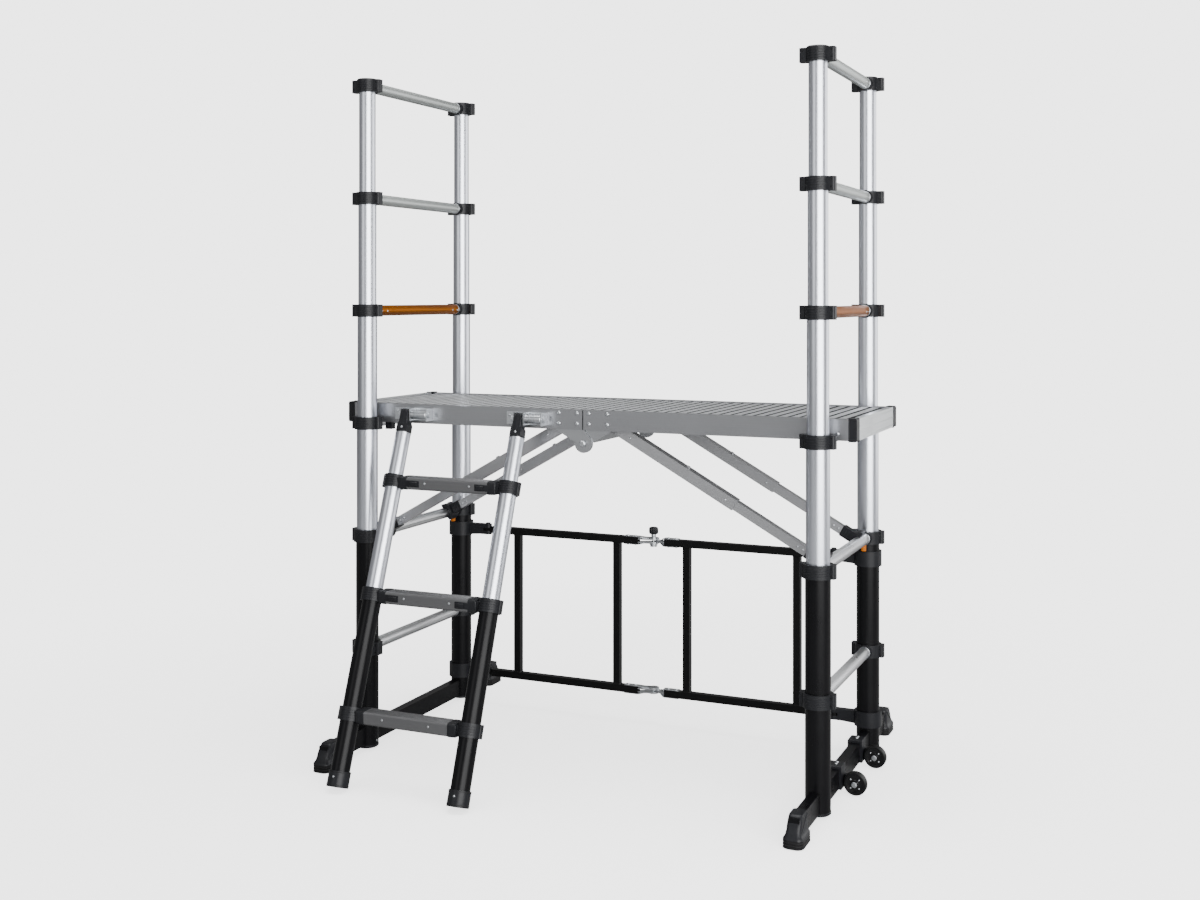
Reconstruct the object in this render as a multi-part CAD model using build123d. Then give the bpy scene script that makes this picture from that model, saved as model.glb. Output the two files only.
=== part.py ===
from build123d import *
import math
import os

# Folding telescopic scaffold: two telescopic ladder towers, a platform that folds at its
# middle, struts under it, a folding rear brace and a telescopic access ladder.
# Millimetres, +X along the platform, +Y to the back, +Z up, ground at z = 0.

# ---- overall ----
half_span = 617.0            # tower plane from the middle of the platform
stile_y = 256.0              # stile axis from the towers' mid plane
first_rung_z = 271.0
rung_pitch = 300.0
running_gap = 0.3            # between pieces that move past each other
seat_gap = 0.1               # between a collar and the tube that it clamps
pin_clearance = 0.05         # radial, pin in a turning hole

# ---- telescopic stiles ----
outer_od = 60.0
fixed_od = 56.0
section_od = {4: 52.0, 5: 48.0, 6: 44.0}
stile_wall = 1.5
stile_foot_z = 11.0
insertion = 120.0            # length of each tube inside the one below

# ---- collars, rungs and release buttons ----
collar_height = 33.0
collar_wall = 5.9
collar_ear_reach = 43.0
collar_ear_depth = 24.0
collar_lip = 3.0
rung_socket_wall = 3.5
socket_reach = 5.0
clamp_screw_hole = 5.0
clamp_screw_spread = 8.5
cap_crown = 3.0
rung_od = 30.0
rung_wall = 2.2
rung_flat_z = 13.5
button_radius = 7.0
button_height = 16.0
button_y = 206.0

# ---- base bars, feet and wheels ----
bar_width = 24.0
bar_height = 47.0
bar_bottom_z = 16.0
bar_half_length = 460.0
foot_half_length = 478.0
foot_pad_length = 80.0
foot_pad_width = 48.0
foot_pad_height = 5.0
foot_sole_top = 22.0
foot_boot_wall = 5.0         # round the base bar
foot_boot_length = 68.0
foot_toe_run = 24.0          # how far the boot's front slopes back
wheel_radius = 28.5
wheel_width = 20.0
wheel_x = 665.0
wheel_z = 29.5
wheel_ys = {"front": -87.0, "rear": 129.0}
wheel_axle = 8.0
bracket_block_length = 40.0
bracket_wall = 8.0
bracket_below = 2.0
bracket_arm = 12.0

# ---- platform ----
deck_half_length = 700.0
deck_half_width = 220.0
deck_height = 50.0
deck_wall = 2.5
deck_flange = 24.0
deck_split = 3.0
deck_cap_length = 20.0
deck_cap_width = 28.0
deck_cap_proud = 2.5
end_profile_inset = 2.0
slat_width = 19.0
slat_height = 14.0
slat_pitch = 29.0
slat_wall = 1.5
cross_tube = 20.0
cross_tube_xs = (330.0, 545.0)
latch_x = 575.0
latch_size = 19.0

# ---- platform hinge ----
hinge_drop = 34.0            # pivot below the underside of the platform
hinge_lobe_radius = 24.0
hinge_plate = 4.0
hinge_pad_near = 20.0
hinge_pad_far = 85.0
hinge_pad_height = 27.0
hinge_pin = 10.0

# ---- struts ----
strut_y = 172.0
strut_pivot_x = 70.0
strut_pivot_rise = 7.0       # above the underside of the platform
strut_outer = 28.0
strut_outer_wall = 2.0
strut_outer_length = 366.0
strut_inner = 23.0
strut_inner_wall = 1.8
strut_inner_start = 200.0
strut_pivot_rod = 10.0
hook_width = 40.0
hook_neck = 55.0
hook_grip = 18.0
hook_radius = 26.0
hook_gap = 0.4
hook_open_from = 225.0       # degrees round the rung, from the outer side
hook_open_to = 68.0

# ---- rear brace ----
brace_pivot_inset = 92.0     # pivot from the stile axis
brace_top_z = 515.0
brace_bottom_z = 90.0
brace_rail = 20.0
brace_post = 20.0
brace_wall = 1.5
brace_post_xs = (424.0, 106.0)
brace_hinge_offset = 13.0    # centre hinge behind the rails' centre line
brace_rail_gap = 40.0        # rail end from the centre hinge
brace_plate = 3.0
brace_plate_radius = 16.0
brace_plate_shank = 40.0     # length of a hinge plate inside its rail
brace_tongue = 8.4
brace_eye_radius = 11.0
brace_pin = 8.0
clamp_height = 40.0
clamp_arm_height = 30.0
clamp_wall = 6.0
lock_knob_radius = 13.5
lock_knob_height = 20.0

# ---- access ladder ----
ladder_xs = (-502.0, -166.0)
ladder_hinge_y = -243.0
ladder_hinge_z = 896.0
ladder_lean = 20.0
ladder_od = {"lower": 48.0, "middle": 44.0, "top": 40.0}
ladder_treads = (770.0, 476.0, 182.0)    # along the stile from its hinge
ladder_insertion = 150.0
ladder_axle = 10.0
ladder_head_width = 30.0
ladder_head_top = 22.0
ladder_head_shoulder = 22.0  # from the axle to where the head starts to widen
ladder_head_taper = 8.0
ladder_collar_wall = 5.0
ladder_head_length = 52.0
ladder_foot_radius = 27.0
ladder_foot_cap = 38.0
tread_depth = 42.0
tread_height = 32.0
tread_wall = 2.0
tread_fillet = 5.0
bracket_plate = 3.0
bracket_left = 48.0
bracket_right = 66.0
bracket_height = 32.0
bracket_reach = 33.0

# ---- worked out ----
deck_z = first_rung_z + 2 * rung_pitch           # underside of the platform
hinge_z = deck_z - hinge_drop
strut_pivot_z = deck_z + strut_pivot_rise
strut_rung_z = first_rung_z + rung_pitch
strut_run = half_span - strut_pivot_x
strut_fall = strut_pivot_z - strut_rung_z
strut_length = math.hypot(strut_run, strut_fall)
strut_angle = math.degrees(math.atan2(strut_fall, strut_run))
brace_hinge_y = stile_y + brace_hinge_offset
brace_pivot_x = half_span - brace_pivot_inset
lean = math.radians(ladder_lean)
ladder_foot = (ladder_hinge_z - ladder_foot_radius * math.sin(lean)) / math.cos(lean)
front_reach = -(ladder_hinge_y - ladder_foot * math.sin(lean) - ladder_foot_radius * math.cos(lean))
depth_centre = (foot_half_length - front_reach) / 2   # middle of the footprint
bar_top = bar_bottom_z + bar_height
slat_count = int((deck_half_length - deck_cap_length - slat_width) // slat_pitch) + 1


def level(number):
    """Height of a rung, counted from the lowest."""
    return first_rung_z + (number - 1) * rung_pitch


def block(x0, x1, y0, y1, z0, z1):
    """A box between two corners."""
    centre = Pos((x0 + x1) / 2, (y0 + y1) / 2, (z0 + z1) / 2)
    return centre * Box(x1 - x0, y1 - y0, z1 - z0)


def upright(diameter, bottom, top):
    """A round bar along Z."""
    return Pos(0, 0, (bottom + top) / 2) * Cylinder(diameter / 2, top - bottom)


def tube(diameter, wall, bottom, top):
    """A round tube along Z."""
    return upright(diameter, bottom, top) - upright(diameter - 2 * wall, bottom, top)


def rod_y(diameter, y0, y1):
    """A round bar along Y through the origin's X and Z."""
    return Pos(0, (y0 + y1) / 2, 0) * Rot(X=90) * Cylinder(diameter / 2, y1 - y0)


def rod_x(diameter, x0, x1):
    """A round bar along X through the origin's Y and Z."""
    return Pos((x0 + x1) / 2, 0, 0) * Rot(Y=90) * Cylinder(diameter / 2, x1 - x0)


def box_tube(length, width, height, wall):
    """A rectangular tube along X, starting at the origin."""
    outer = block(0, length, -width / 2, width / 2, -height / 2, height / 2)
    inner_w = width / 2 - wall
    inner_h = height / 2 - wall
    return outer - block(0, length, -inner_w, inner_w, -inner_h, inner_h)


def prism_y(points, y0, y1):
    """A polygon in X and Z, extruded from y0 to y1."""
    face = Plane.XZ * make_face(Polyline(*points, close=True))
    return Pos(0, y0, 0) * extrude(face, y1 - y0, dir=(0, 1, 0))


def prism_z(points, z0, z1):
    """A polygon in X and Y, extruded from z0 to z1."""
    face = make_face(Polyline(*points, close=True))
    return Pos(0, 0, z0) * extrude(face, z1 - z0)


def both_stiles(shape):
    """A piece on the front stile's axis, facing the back, and its twin on the back stile."""
    front = Pos(0, -stile_y, 0) * shape
    return [front, Pos(0, stile_y, 0) * Rot(Z=180) * shape]


def both_sides_y(shape):
    """A piece and its mirror image in the towers' mid plane."""
    return [shape, mirror(shape, about=Plane.XZ)]


# ---- towers (drawn for the right tower, about its own plane) ----
def tower_tubes(diameter, bottom, top):
    """The pair of tubes of one telescopic section."""
    return both_stiles(tube(diameter, stile_wall, bottom, top))


def tube_top(number):
    """Top of the tube that the collar of this level clamps."""
    return level(number) + collar_height / 2 - collar_lip


def outer_stiles():
    """Black outer tubes, slotted at the foot round the base bar."""
    slot = block(-bar_width / 2, bar_width / 2, -outer_od, outer_od, stile_foot_z, bar_top)
    return both_stiles(tube(outer_od, stile_wall, stile_foot_z, tube_top(2)) - slot)


def rung_hole(clearance):
    return rod_y(rung_od + 2 * clearance, 0, stile_y)


def stile_collar(tube_diameter, next_diameter, reach):
    """Two-part clamp collar with screwed ears and a socket for the rung, facing +Y."""
    half = collar_height / 2
    radius = tube_diameter / 2 + collar_wall
    shape = upright(2 * radius, -half, half)
    ears = block(-collar_ear_reach, collar_ear_reach, -collar_ear_depth / 2, collar_ear_depth / 2, -half, half)
    shape += fillet(ears.edges().filter_by(Axis.Z), collar_ear_depth / 4)
    if reach:
        shape += rod_y(rung_od + 2 * rung_socket_wall, 0, radius + reach)
    clamped_top = half if next_diameter == tube_diameter else half - collar_lip
    shape -= upright(tube_diameter + 2 * seat_gap, -stile_y, clamped_top)
    if next_diameter:
        shape -= upright(next_diameter + 2 * running_gap, 0, stile_y)
    shape -= rung_hole(seat_gap)
    for x in (-1, 1):
        for z in (-1, 1):
            hole = rod_y(clamp_screw_hole, -stile_y, stile_y)
            ear_x = collar_ear_reach - clamp_screw_spread
            shape -= Pos(x * ear_x, 0, z * clamp_screw_spread) * hole
    return shape


def top_cap(tube_diameter):
    """Closed collar on the top of a stile."""
    radius = tube_diameter / 2 + collar_wall
    half = collar_height / 2
    crown = Pos(0, 0, half + cap_crown / 2) * Cone(radius, radius - cap_crown, cap_crown)
    return stile_collar(tube_diameter, 0, socket_reach) + crown


def rung(tube_diameter):
    """Hollow rung with a flattened tread, between the two stiles' tubes."""
    half = stile_y - tube_diameter / 2 - 0.5
    outer = rod_y(rung_od, -half, half) & block(-rung_od, rung_od, -half, half, -rung_od, rung_flat_z)
    bore = rod_y(rung_od - 2 * rung_wall, -half, half)
    bore &= block(-rung_od, rung_od, -half, half, -rung_od, rung_flat_z - rung_wall)
    return outer - bore


def fixed_collars():
    """Collars of the three lower levels, and the two clamps that carry the rear brace."""
    solids = both_stiles(Pos(0, 0, level(1)) * stile_collar(outer_od, outer_od, socket_reach))
    solids += both_stiles(Pos(0, 0, level(2)) * stile_collar(outer_od, fixed_od, socket_reach))
    solids += both_stiles(Pos(0, 0, level(3)) * stile_collar(fixed_od, section_od[4], 0))
    for z in (brace_top_z, brace_bottom_z):
        solids += [Pos(0, stile_y, z) * piece for piece in brace_clamp()]
    return solids


def fixed_rungs():
    diameters = {1: outer_od, 2: outer_od, 3: fixed_od}
    return [Pos(0, 0, level(n)) * rung(d) for n, d in diameters.items()]


def brace_clamp():
    """Clamp round the back stile with a forked arm and its upright pin."""
    half = clamp_height / 2
    arm_half = clamp_arm_height / 2
    arm_side = brace_rail / 2
    ring = upright(outer_od + 2 * clamp_wall, -half, half)
    arm = block(-brace_pivot_inset, 0, -arm_side, arm_side, -arm_half, arm_half)
    gusset_far = brace_pivot_inset - 2 * brace_eye_radius
    gusset = prism_y([(-gusset_far, -arm_half), (0, -arm_half), (0, -half)], -arm_side, arm_side)
    eye = Pos(-brace_pivot_inset, 0, 0) * upright(2 * brace_eye_radius, -arm_half, arm_half)
    shape = ring + arm + gusset + eye
    shape -= upright(outer_od + 2 * seat_gap, -half, half)
    gap = brace_tongue / 2 + running_gap
    mouth = brace_eye_radius + running_gap * 4
    shape -= block(-brace_pivot_inset - 2 * mouth, mouth - brace_pivot_inset, -mouth * 2, mouth * 2, -gap, gap)
    pin_hole = Pos(-brace_pivot_inset, 0, 0) * upright(brace_pin, -half, half)
    shape -= pin_hole
    pin = Pos(-brace_pivot_inset, 0, 0) * upright(brace_pin, -arm_half, arm_half)
    head = Pos(-brace_pivot_inset, 0, 0) * upright(brace_pin * 1.7, arm_half, arm_half + brace_pin / 2)
    return [shape, pin + head]


def base_bar():
    return [block(-bar_width / 2, bar_width / 2, -bar_half_length, bar_half_length, bar_bottom_z, bar_top)]


def foot():
    """Boot on the front end of the base bar and the rubber pad under it."""
    half = foot_pad_width / 2
    front = -foot_half_length
    pad_box = block(-half, half, front, front + foot_pad_length, 0, foot_pad_height)
    pad = fillet(pad_box.edges().filter_by(Axis.Z), half / 2)
    sole_box = block(-half, half, front, front + foot_pad_length, foot_pad_height, foot_sole_top)
    boot = fillet(sole_box.edges().filter_by(Axis.Z), half / 2)
    upper_half = bar_width / 2 + foot_boot_wall
    upper_top = bar_top + foot_boot_wall
    toe = front + (foot_pad_length - foot_boot_length) / 2
    heel = toe + foot_boot_length
    shoulder = foot_sole_top + (upper_top - foot_sole_top) / 2
    side = [(toe, foot_sole_top), (toe + foot_toe_run / 3, shoulder), (toe + foot_toe_run, upper_top),
            (heel, upper_top), (heel, foot_sole_top)]
    boot += Rot(Z=90) * prism_y(side, -upper_half, upper_half)
    boot -= base_bar()[0]
    return [boot, pad]


def feet():
    solids = []
    for piece in foot():
        solids += both_sides_y(piece)
    return solids


def release_button():
    """Slide button under the second rung, beside the back collar."""
    top = level(2) - rung_od / 2 - running_gap
    body = upright(2 * button_radius, top - button_height, top)
    return [Pos(0, button_y, 0) * fillet(body.edges().group_by(Axis.Z)[0], button_radius / 2)]


def wheel_bracket(wheel_y):
    """Block clamped on the base bar with an arm to the wheel, and the wheel's axle bolt."""
    side = bar_width / 2 + bracket_wall
    arm_y = wheel_y + wheel_width / 2 + running_gap
    block_y = arm_y + bracket_arm - bracket_block_length / 2
    bottom = bar_bottom_z - bracket_below
    clamp = block(-side, side, block_y - bracket_block_length / 2, block_y + bracket_block_length / 2,
                  bottom, bar_top + bracket_wall)
    clamp = chamfer(clamp.edges().group_by(Axis.Z)[-1], bracket_wall / 3)
    offset = wheel_x - half_span
    keep = offset - wheel_radius - 2
    clamp &= block(-side, min(side, keep), -stile_y * 2, stile_y * 2, 0, bar_top + side)
    boss = wheel_radius / 2
    arm = block(0, offset, arm_y, arm_y + bracket_arm, wheel_z - boss, wheel_z + boss)
    eye = Pos(offset, 0, wheel_z) * rod_y(2 * boss, arm_y, arm_y + bracket_arm)
    shape = clamp + arm + eye - base_bar()[0]
    bolt_start = wheel_y - wheel_width / 2 - running_gap
    bolt = rod_y(wheel_axle, bolt_start, arm_y + bracket_arm)
    bolt += rod_y(wheel_axle * 1.6, bolt_start - wheel_axle / 2, bolt_start)
    bolt += rod_y(wheel_axle * 1.6, arm_y + bracket_arm, arm_y + bracket_arm + wheel_axle / 2)
    bolt = Pos(offset, 0, wheel_z) * bolt
    return [shape - bolt, bolt]


def wheel(wheel_y):
    half = wheel_width / 2
    shape = rod_y(2 * wheel_radius, -half, half)
    shape = fillet(shape.edges(), wheel_width / 5)
    recess = rod_y(wheel_radius * 1.3, -half, -half + 2)
    shape -= recess + rod_y(wheel_axle + 2 * pin_clearance, -half, half)
    shape += tube_y(wheel_axle + 2 * pin_clearance, wheel_axle * 2, -half, 0)
    return [Pos(wheel_x - half_span, wheel_y, wheel_z) * shape]


def tube_y(inner, outer, y0, y1):
    return rod_y(outer, y0, y1) - rod_y(inner, y0, y1)


# ---- platform (drawn for the right half) ----
def deck_rail():
    """Front side rail: a channel that opens inward, notched over the tower's rung."""
    end = deck_half_length - deck_cap_length
    front = -deck_half_width
    top = deck_z + deck_height
    rail = block(deck_split / 2, end, front, front + deck_flange, deck_z, top)
    rail -= block(0, end, front + deck_wall, 0, deck_z + deck_wall, top - deck_wall)
    rail -= block(0, hinge_pad_far + hinge_plate, front + deck_wall, 0, deck_z, deck_z + deck_wall)
    return rail - rung_notch()


def rung_notch():
    return Pos(half_span, 0, deck_z) * rod_y(rung_od + 2 * running_gap, -stile_y, stile_y)


def end_profile():
    """Light end beam between the corner caps."""
    x0 = deck_half_length - deck_cap_length + end_profile_inset
    x1 = deck_half_length - end_profile_inset
    width = 2 * (deck_half_width - deck_cap_width)
    beam = Pos((x0 + x1) / 2, -width / 2, deck_z + deck_height / 2) * Rot(Z=90) * box_tube(
        width, x1 - x0, deck_height + end_profile_inset, deck_wall)
    return beam


def deck_frame():
    inner = deck_half_width - deck_wall
    solids = both_sides_y(deck_rail())
    solids.append(end_profile())
    cross_z = deck_z + deck_height - deck_wall - slat_height - cross_tube / 2
    for x in cross_tube_xs:
        cross = Rot(Z=90) * box_tube(2 * inner, cross_tube, cross_tube, deck_wall)
        solids.append(Pos(x, -inner, cross_z) * cross)
    return solids


def deck_slats():
    """Hollow cross slats under the rails' top flanges."""
    inner = deck_half_width - deck_wall
    top = deck_z + deck_height - deck_wall
    slat = Pos(0, -inner, top - slat_height / 2) * Rot(Z=90) * box_tube(
        2 * inner, slat_width, slat_height, slat_wall)
    first = slat_pitch / 2
    return [Pos(first + n * slat_pitch, 0, 0) * slat for n in range(slat_count)]


def deck_caps():
    """Black corner caps at the end of the half, and the two latch blocks under its rails."""
    x0 = deck_half_length - deck_cap_length
    front = -deck_half_width
    cap = block(x0, deck_half_length, front, front + deck_cap_width,
                deck_z - deck_cap_proud, deck_z + deck_height + deck_cap_proud)
    cap = fillet(cap.edges().filter_by(Axis.Y).group_by(Axis.X)[-1], deck_cap_length / 4)
    y0 = front + deck_wall
    half = latch_size / 2
    latch = block(latch_x - half, latch_x + half, y0, y0 + latch_size, deck_z - latch_size, deck_z)
    return both_sides_y(cap) + both_sides_y(latch)


def hinge_lobe(y_near, y_far, pad_far_y):
    """Front hinge plate of the right half: a pad on the rail's web and a lobe round the pivot."""
    pad_z = deck_z + hinge_plate
    pad_top = pad_z + hinge_pad_height
    outline = [(-hinge_lobe_radius * 0.6, hinge_z + hinge_lobe_radius * 0.8), (hinge_pad_near, pad_top),
               (hinge_pad_far, pad_top), (hinge_pad_far, pad_z), (hinge_lobe_radius * 0.8, hinge_z)]
    plate = prism_y(outline, y_near, y_far)
    plate += Pos(0, 0, hinge_z) * rod_y(2 * hinge_lobe_radius, y_near, y_far)
    pad = block(hinge_pad_near, hinge_pad_far, pad_far_y, y_far, pad_z, pad_top)
    return plate + pad


def left_hinge():
    """Outer lobes, drawn for the right half and mirrored onto the left one."""
    web = -(deck_half_width - deck_wall)
    lobe = hinge_lobe(web, web + hinge_plate, web)
    lobe -= Pos(0, 0, hinge_z) * rod_y(hinge_pin + 2 * pin_clearance, -stile_y, 0)
    return both_sides_y(lobe)


def right_hinge():
    """Inner lobes with their pivot bolts, and the plate that ties the two lobes."""
    web = -(deck_half_width - deck_wall)
    near = web + hinge_plate + 0.5
    far = near + hinge_plate
    lobe = hinge_lobe(near, far, web)
    at_pivot = Pos(0, 0, hinge_z)
    lobe -= at_pivot * rod_y(hinge_pin, -stile_y, 0)
    bolt = rod_y(hinge_pin, web - running_gap, far + hinge_plate)
    bolt += rod_y(hinge_pin * 1.6, web - running_gap - 3, web - running_gap)
    bolt += rod_y(hinge_pin * 1.6, far, far + hinge_plate)
    outline = [(24, hinge_z + 4), (26, hinge_z + 2), (47, hinge_z + 23), (45, hinge_z + 25)]
    tie = prism_y(outline, far, -far)
    return both_sides_y(lobe) + both_sides_y(at_pivot * bolt) + [tie]


# ---- struts (drawn for the right half) ----
def on_strut(shape):
    """Move a piece drawn along +X from the strut's pivot onto the front strut's axis."""
    return Pos(strut_pivot_x, -strut_y, strut_pivot_z) * Rot(Y=strut_angle) * shape


def strut_outers():
    """Outer strut tubes of one half. The rod that they turn on belongs to the platform."""
    start = -strut_outer / 2
    body = Pos(start, 0, 0) * box_tube(strut_outer_length - start, strut_outer, strut_outer, strut_outer_wall)
    body -= rod_y(strut_pivot_rod + 2 * pin_clearance, -strut_outer, strut_outer)
    return both_sides_y(on_strut(body))


def pivot_rod(end_y):
    """Rod across the half between the hinge pads, which the struts turn on."""
    return Pos(strut_pivot_x, 0, strut_pivot_z) * rod_y(strut_pivot_rod, -end_y, end_y)


def strut_inner_end():
    return strut_length - hook_neck + hook_grip


def strut_inners():
    """Inner strut tubes, with the plastic hooks that sit on the towers' second rung."""
    length = strut_inner_end() - strut_inner_start
    inner = Pos(strut_inner_start, 0, 0) * box_tube(length, strut_inner, strut_inner, strut_inner_wall)
    return both_sides_y(on_strut(inner)) + both_sides_y(on_strut(strut_hook()))


def strut_hook():
    """Hook drawn along the strut: a neck on the inner tube and jaws round the rung."""
    half = hook_width / 2
    reach = hook_radius * 2
    start = hook_open_to + strut_angle
    stop = hook_open_from + strut_angle
    steps = [start + (stop - start) * n / 4 for n in range(5)]
    rays = [(reach * math.cos(math.radians(a)), reach * math.sin(math.radians(a))) for a in steps]
    jaws = prism_y([(0, 0)] + rays, -half, half) & rod_y(2 * hook_radius, -half, half)
    jaws = Pos(strut_length, 0, 0) * jaws
    neck_half = strut_outer / 2
    neck = block(strut_length - hook_neck, strut_length - hook_radius / 2, -half * 0.7, half * 0.7,
                 -neck_half, neck_half)
    hook = jaws + neck
    hook -= Pos(strut_length, 0, 0) * rod_y(rung_od + 2 * hook_gap, -half, half)
    socket = strut_inner + 2 * seat_gap
    inner_end = strut_inner_end()
    return hook - block(0, inner_end, -socket / 2, socket / 2, -socket / 2, socket / 2)


# ---- rear brace (drawn for the right half) ----
def brace_half_frame():
    """Two rails with pivot eyes and two posts."""
    solids = []
    half = brace_rail / 2
    for z in (brace_top_z, brace_bottom_z):
        rail_end = brace_pivot_x - brace_eye_radius - 5
        rail = Pos(brace_rail_gap, 0, 0) * box_tube(rail_end - brace_rail_gap, brace_rail, brace_rail, brace_wall)
        plug = block(rail_end - 12, rail_end, -half, half, -half, half)
        tongue = block(rail_end - 1, brace_pivot_x, -brace_eye_radius, brace_eye_radius,
                       -brace_tongue / 2, brace_tongue / 2)
        eye = Pos(brace_pivot_x, 0, 0) * upright(2 * brace_eye_radius, -brace_tongue / 2, brace_tongue / 2)
        hole = upright(brace_pin + 2 * pin_clearance, -brace_tongue, brace_tongue)
        shape = rail + plug + tongue + eye - Pos(brace_pivot_x, 0, 0) * hole
        solids.append(Pos(0, stile_y, z) * shape)
    post_length = brace_top_z - brace_bottom_z - brace_rail
    for x in brace_post_xs:
        post = Rot(Y=-90) * box_tube(post_length, brace_post, brace_post, brace_wall)
        solids.append(Pos(x, stile_y, brace_bottom_z + half) * post)
    return solids


def brace_plate_outline():
    """Flat hinge plate of the left half, drawn in the +X direction, its shank inside the rail."""
    half = brace_rail / 2 - brace_wall
    shank_end = brace_rail_gap + brace_plate_shank
    return [(0, brace_hinge_offset - brace_plate_radius), (brace_rail_gap, -half),
            (shank_end, -half), (shank_end, half), (brace_rail_gap, half),
            (0, brace_hinge_offset + brace_plate_radius)]


def left_brace_plates(z):
    """Fork of two plates with the hinge hole, drawn as on a right half."""
    low = brace_tongue / 2 - 1
    plates = []
    for z0 in (low, -low - brace_plate):
        plate = prism_z(brace_plate_outline(), z0, z0 + brace_plate)
        plate += Pos(0, brace_hinge_offset, 0) * upright(2 * brace_plate_radius, z0, z0 + brace_plate)
        hole = Pos(0, brace_hinge_offset, 0) * upright(brace_pin + 2 * pin_clearance, -stile_y, stile_y)
        plates.append(Pos(0, stile_y, z) * (plate - hole))
    return plates


def right_brace_tongue(z):
    """Single plate between the fork's two. It stops short of the hinge pin."""
    half = brace_tongue / 2 - 1 - running_gap
    side = brace_rail / 2 - brace_wall
    shank_end = brace_rail_gap + brace_plate_shank
    outline = [(brace_pin, brace_hinge_offset - brace_pin), (brace_rail_gap, -side),
               (shank_end, -side), (shank_end, side),
               (brace_rail_gap, side), (brace_pin, brace_hinge_offset + brace_pin)]
    plate = prism_z(outline, -half, half)
    plate -= Pos(0, brace_hinge_offset, 0) * upright(brace_pin * 2.25, -half, half)
    return [Pos(0, stile_y, z) * plate]


def brace_hinge_rivet():
    """Rivet of the lower centre hinge, carried by the left half's fork."""
    reach = brace_tongue / 2 - 1 + brace_plate
    rivet = upright(brace_pin, -reach, reach)
    for z0 in (reach, -reach - 2):
        rivet += upright(brace_pin * 1.7, z0, z0 + 2)
    return Pos(0, brace_hinge_y, brace_bottom_z) * rivet


def brace_lock_pin():
    """Pull pin of the upper centre hinge, with its collar and knob."""
    reach = brace_tongue / 2 - 1 + brace_plate
    stem_top = reach + brace_pin * 1.5
    pin = upright(brace_pin, -reach - brace_pin * 1.5, stem_top)
    pin += upright(brace_pin * 1.75, reach + running_gap, stem_top)
    knob = upright(2 * lock_knob_radius, stem_top, stem_top + lock_knob_height)
    pin += fillet(knob.edges(), lock_knob_radius / 5)
    return [Pos(0, brace_hinge_y, brace_top_z) * pin]


# ---- access ladder (drawn along its stile, hinge at the origin, then leant) ----
def on_ladder(shape, x=0.0):
    return Pos(x, ladder_hinge_y, ladder_hinge_z) * Rot(X=-ladder_lean) * shape


def ladder_pair(shape):
    """A piece on the left stile, facing +X, and its mirror image on the right stile."""
    left, right = ladder_xs
    return [on_ladder(shape, left), on_ladder(mirror(shape, about=Plane.YZ), right)]


def ladder_tubes(section, upper, lower):
    """Pair of stile tubes between two distances down from the hinge."""
    return ladder_pair(tube(ladder_od[section], stile_wall, -lower, -upper))


def ladder_collar(section, next_section):
    """Clamp collar with a flat socket for the tread, facing +X."""
    half = collar_height / 2
    radius = ladder_od[section] / 2 + ladder_collar_wall
    shape = upright(2 * radius, -half, half)
    ear = block(-radius - 4, 0, -collar_ear_depth / 3, collar_ear_depth / 3, -half, half)
    shape += fillet(ear.edges().filter_by(Axis.Z), collar_ear_depth / 8)
    level_socket = block(0, ladder_socket_x(), -tread_depth / 2 + 4, tread_depth / 2 - 4,
                         -tread_height / 2 + 3, tread_height / 2 - 3)
    shape += Rot(X=ladder_lean) * level_socket
    clamped_top = half - collar_lip if next_section else half * 2
    shape -= upright(ladder_od[section] + 2 * seat_gap, -half * 2, clamped_top)
    if next_section:
        shape -= upright(ladder_od[next_section] + 2 * running_gap, 0, half * 2)
    return shape


def ladder_socket_x():
    return ladder_od["lower"] / 2 + ladder_collar_wall + 12


def tread():
    """Hollow tread that is level when the ladder leans, between the two stiles' sockets."""
    left, right = ladder_xs
    length = right - left - 2 * ladder_socket_x()
    outer = block(0, length, -tread_depth / 2, tread_depth / 2, -tread_height / 2, tread_height / 2)
    outer = fillet(outer.edges().filter_by(Axis.X), tread_fillet)
    wall = tread_wall
    inner = block(0, length, -tread_depth / 2 + wall, tread_depth / 2 - wall,
                  -tread_height / 2 + wall, tread_height / 2 - wall)
    inner = fillet(inner.edges().filter_by(Axis.X), tread_fillet - wall)
    return Pos(ladder_socket_x(), 0, 0) * Rot(X=ladder_lean) * (outer - inner)


def tread_at(distance):
    return on_ladder(Pos(0, 0, -distance) * tread(), ladder_xs[0])


def collar_pair(section, next_section, distance):
    return ladder_pair(Pos(0, 0, -distance) * ladder_collar(section, next_section))


def ladder_top_of(distance):
    """Top end of a tube that is clamped by the collar at this distance."""
    return distance - collar_height / 2 + collar_lip


def foot_cap():
    """Moulded cap on the foot of a ladder stile."""
    bottom = ladder_foot
    cap = upright(2 * ladder_foot_radius, -bottom, -bottom + ladder_foot_cap)
    return cap - upright(ladder_od["lower"] + 2 * seat_gap, -bottom + 6, 0)


def ladder_lower_collars():
    solids = collar_pair("lower", None, ladder_treads[0])
    solids += collar_pair("lower", "middle", ladder_treads[1])
    return solids + ladder_pair(foot_cap())


def ladder_head():
    """Head on the top of a stile, with the eye that turns on the bracket's axle."""
    radius = ladder_head_width / 2
    narrow = ladder_head_top / 2
    low = -ladder_head_length + 5
    wide = -ladder_head_shoulder - ladder_head_taper
    plug = upright(ladder_od["top"] - 2 * stile_wall - 2 * seat_gap, -ladder_head_length - 40, -ladder_head_length)
    flange = upright(ladder_od["top"], -ladder_head_length, low)
    outline = [(-radius, low), (radius, low), (radius, wide), (narrow, -ladder_head_shoulder), (narrow, 0),
               (-narrow, 0), (-narrow, -ladder_head_shoulder), (-radius, wide)]
    neck = prism_y(outline, -radius, radius)
    eye = rod_x(2 * radius, -narrow, narrow)
    head = plug + flange + neck + eye
    return head - rod_x(ladder_axle + 2 * pin_clearance, -radius * 2, radius * 2)


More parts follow.
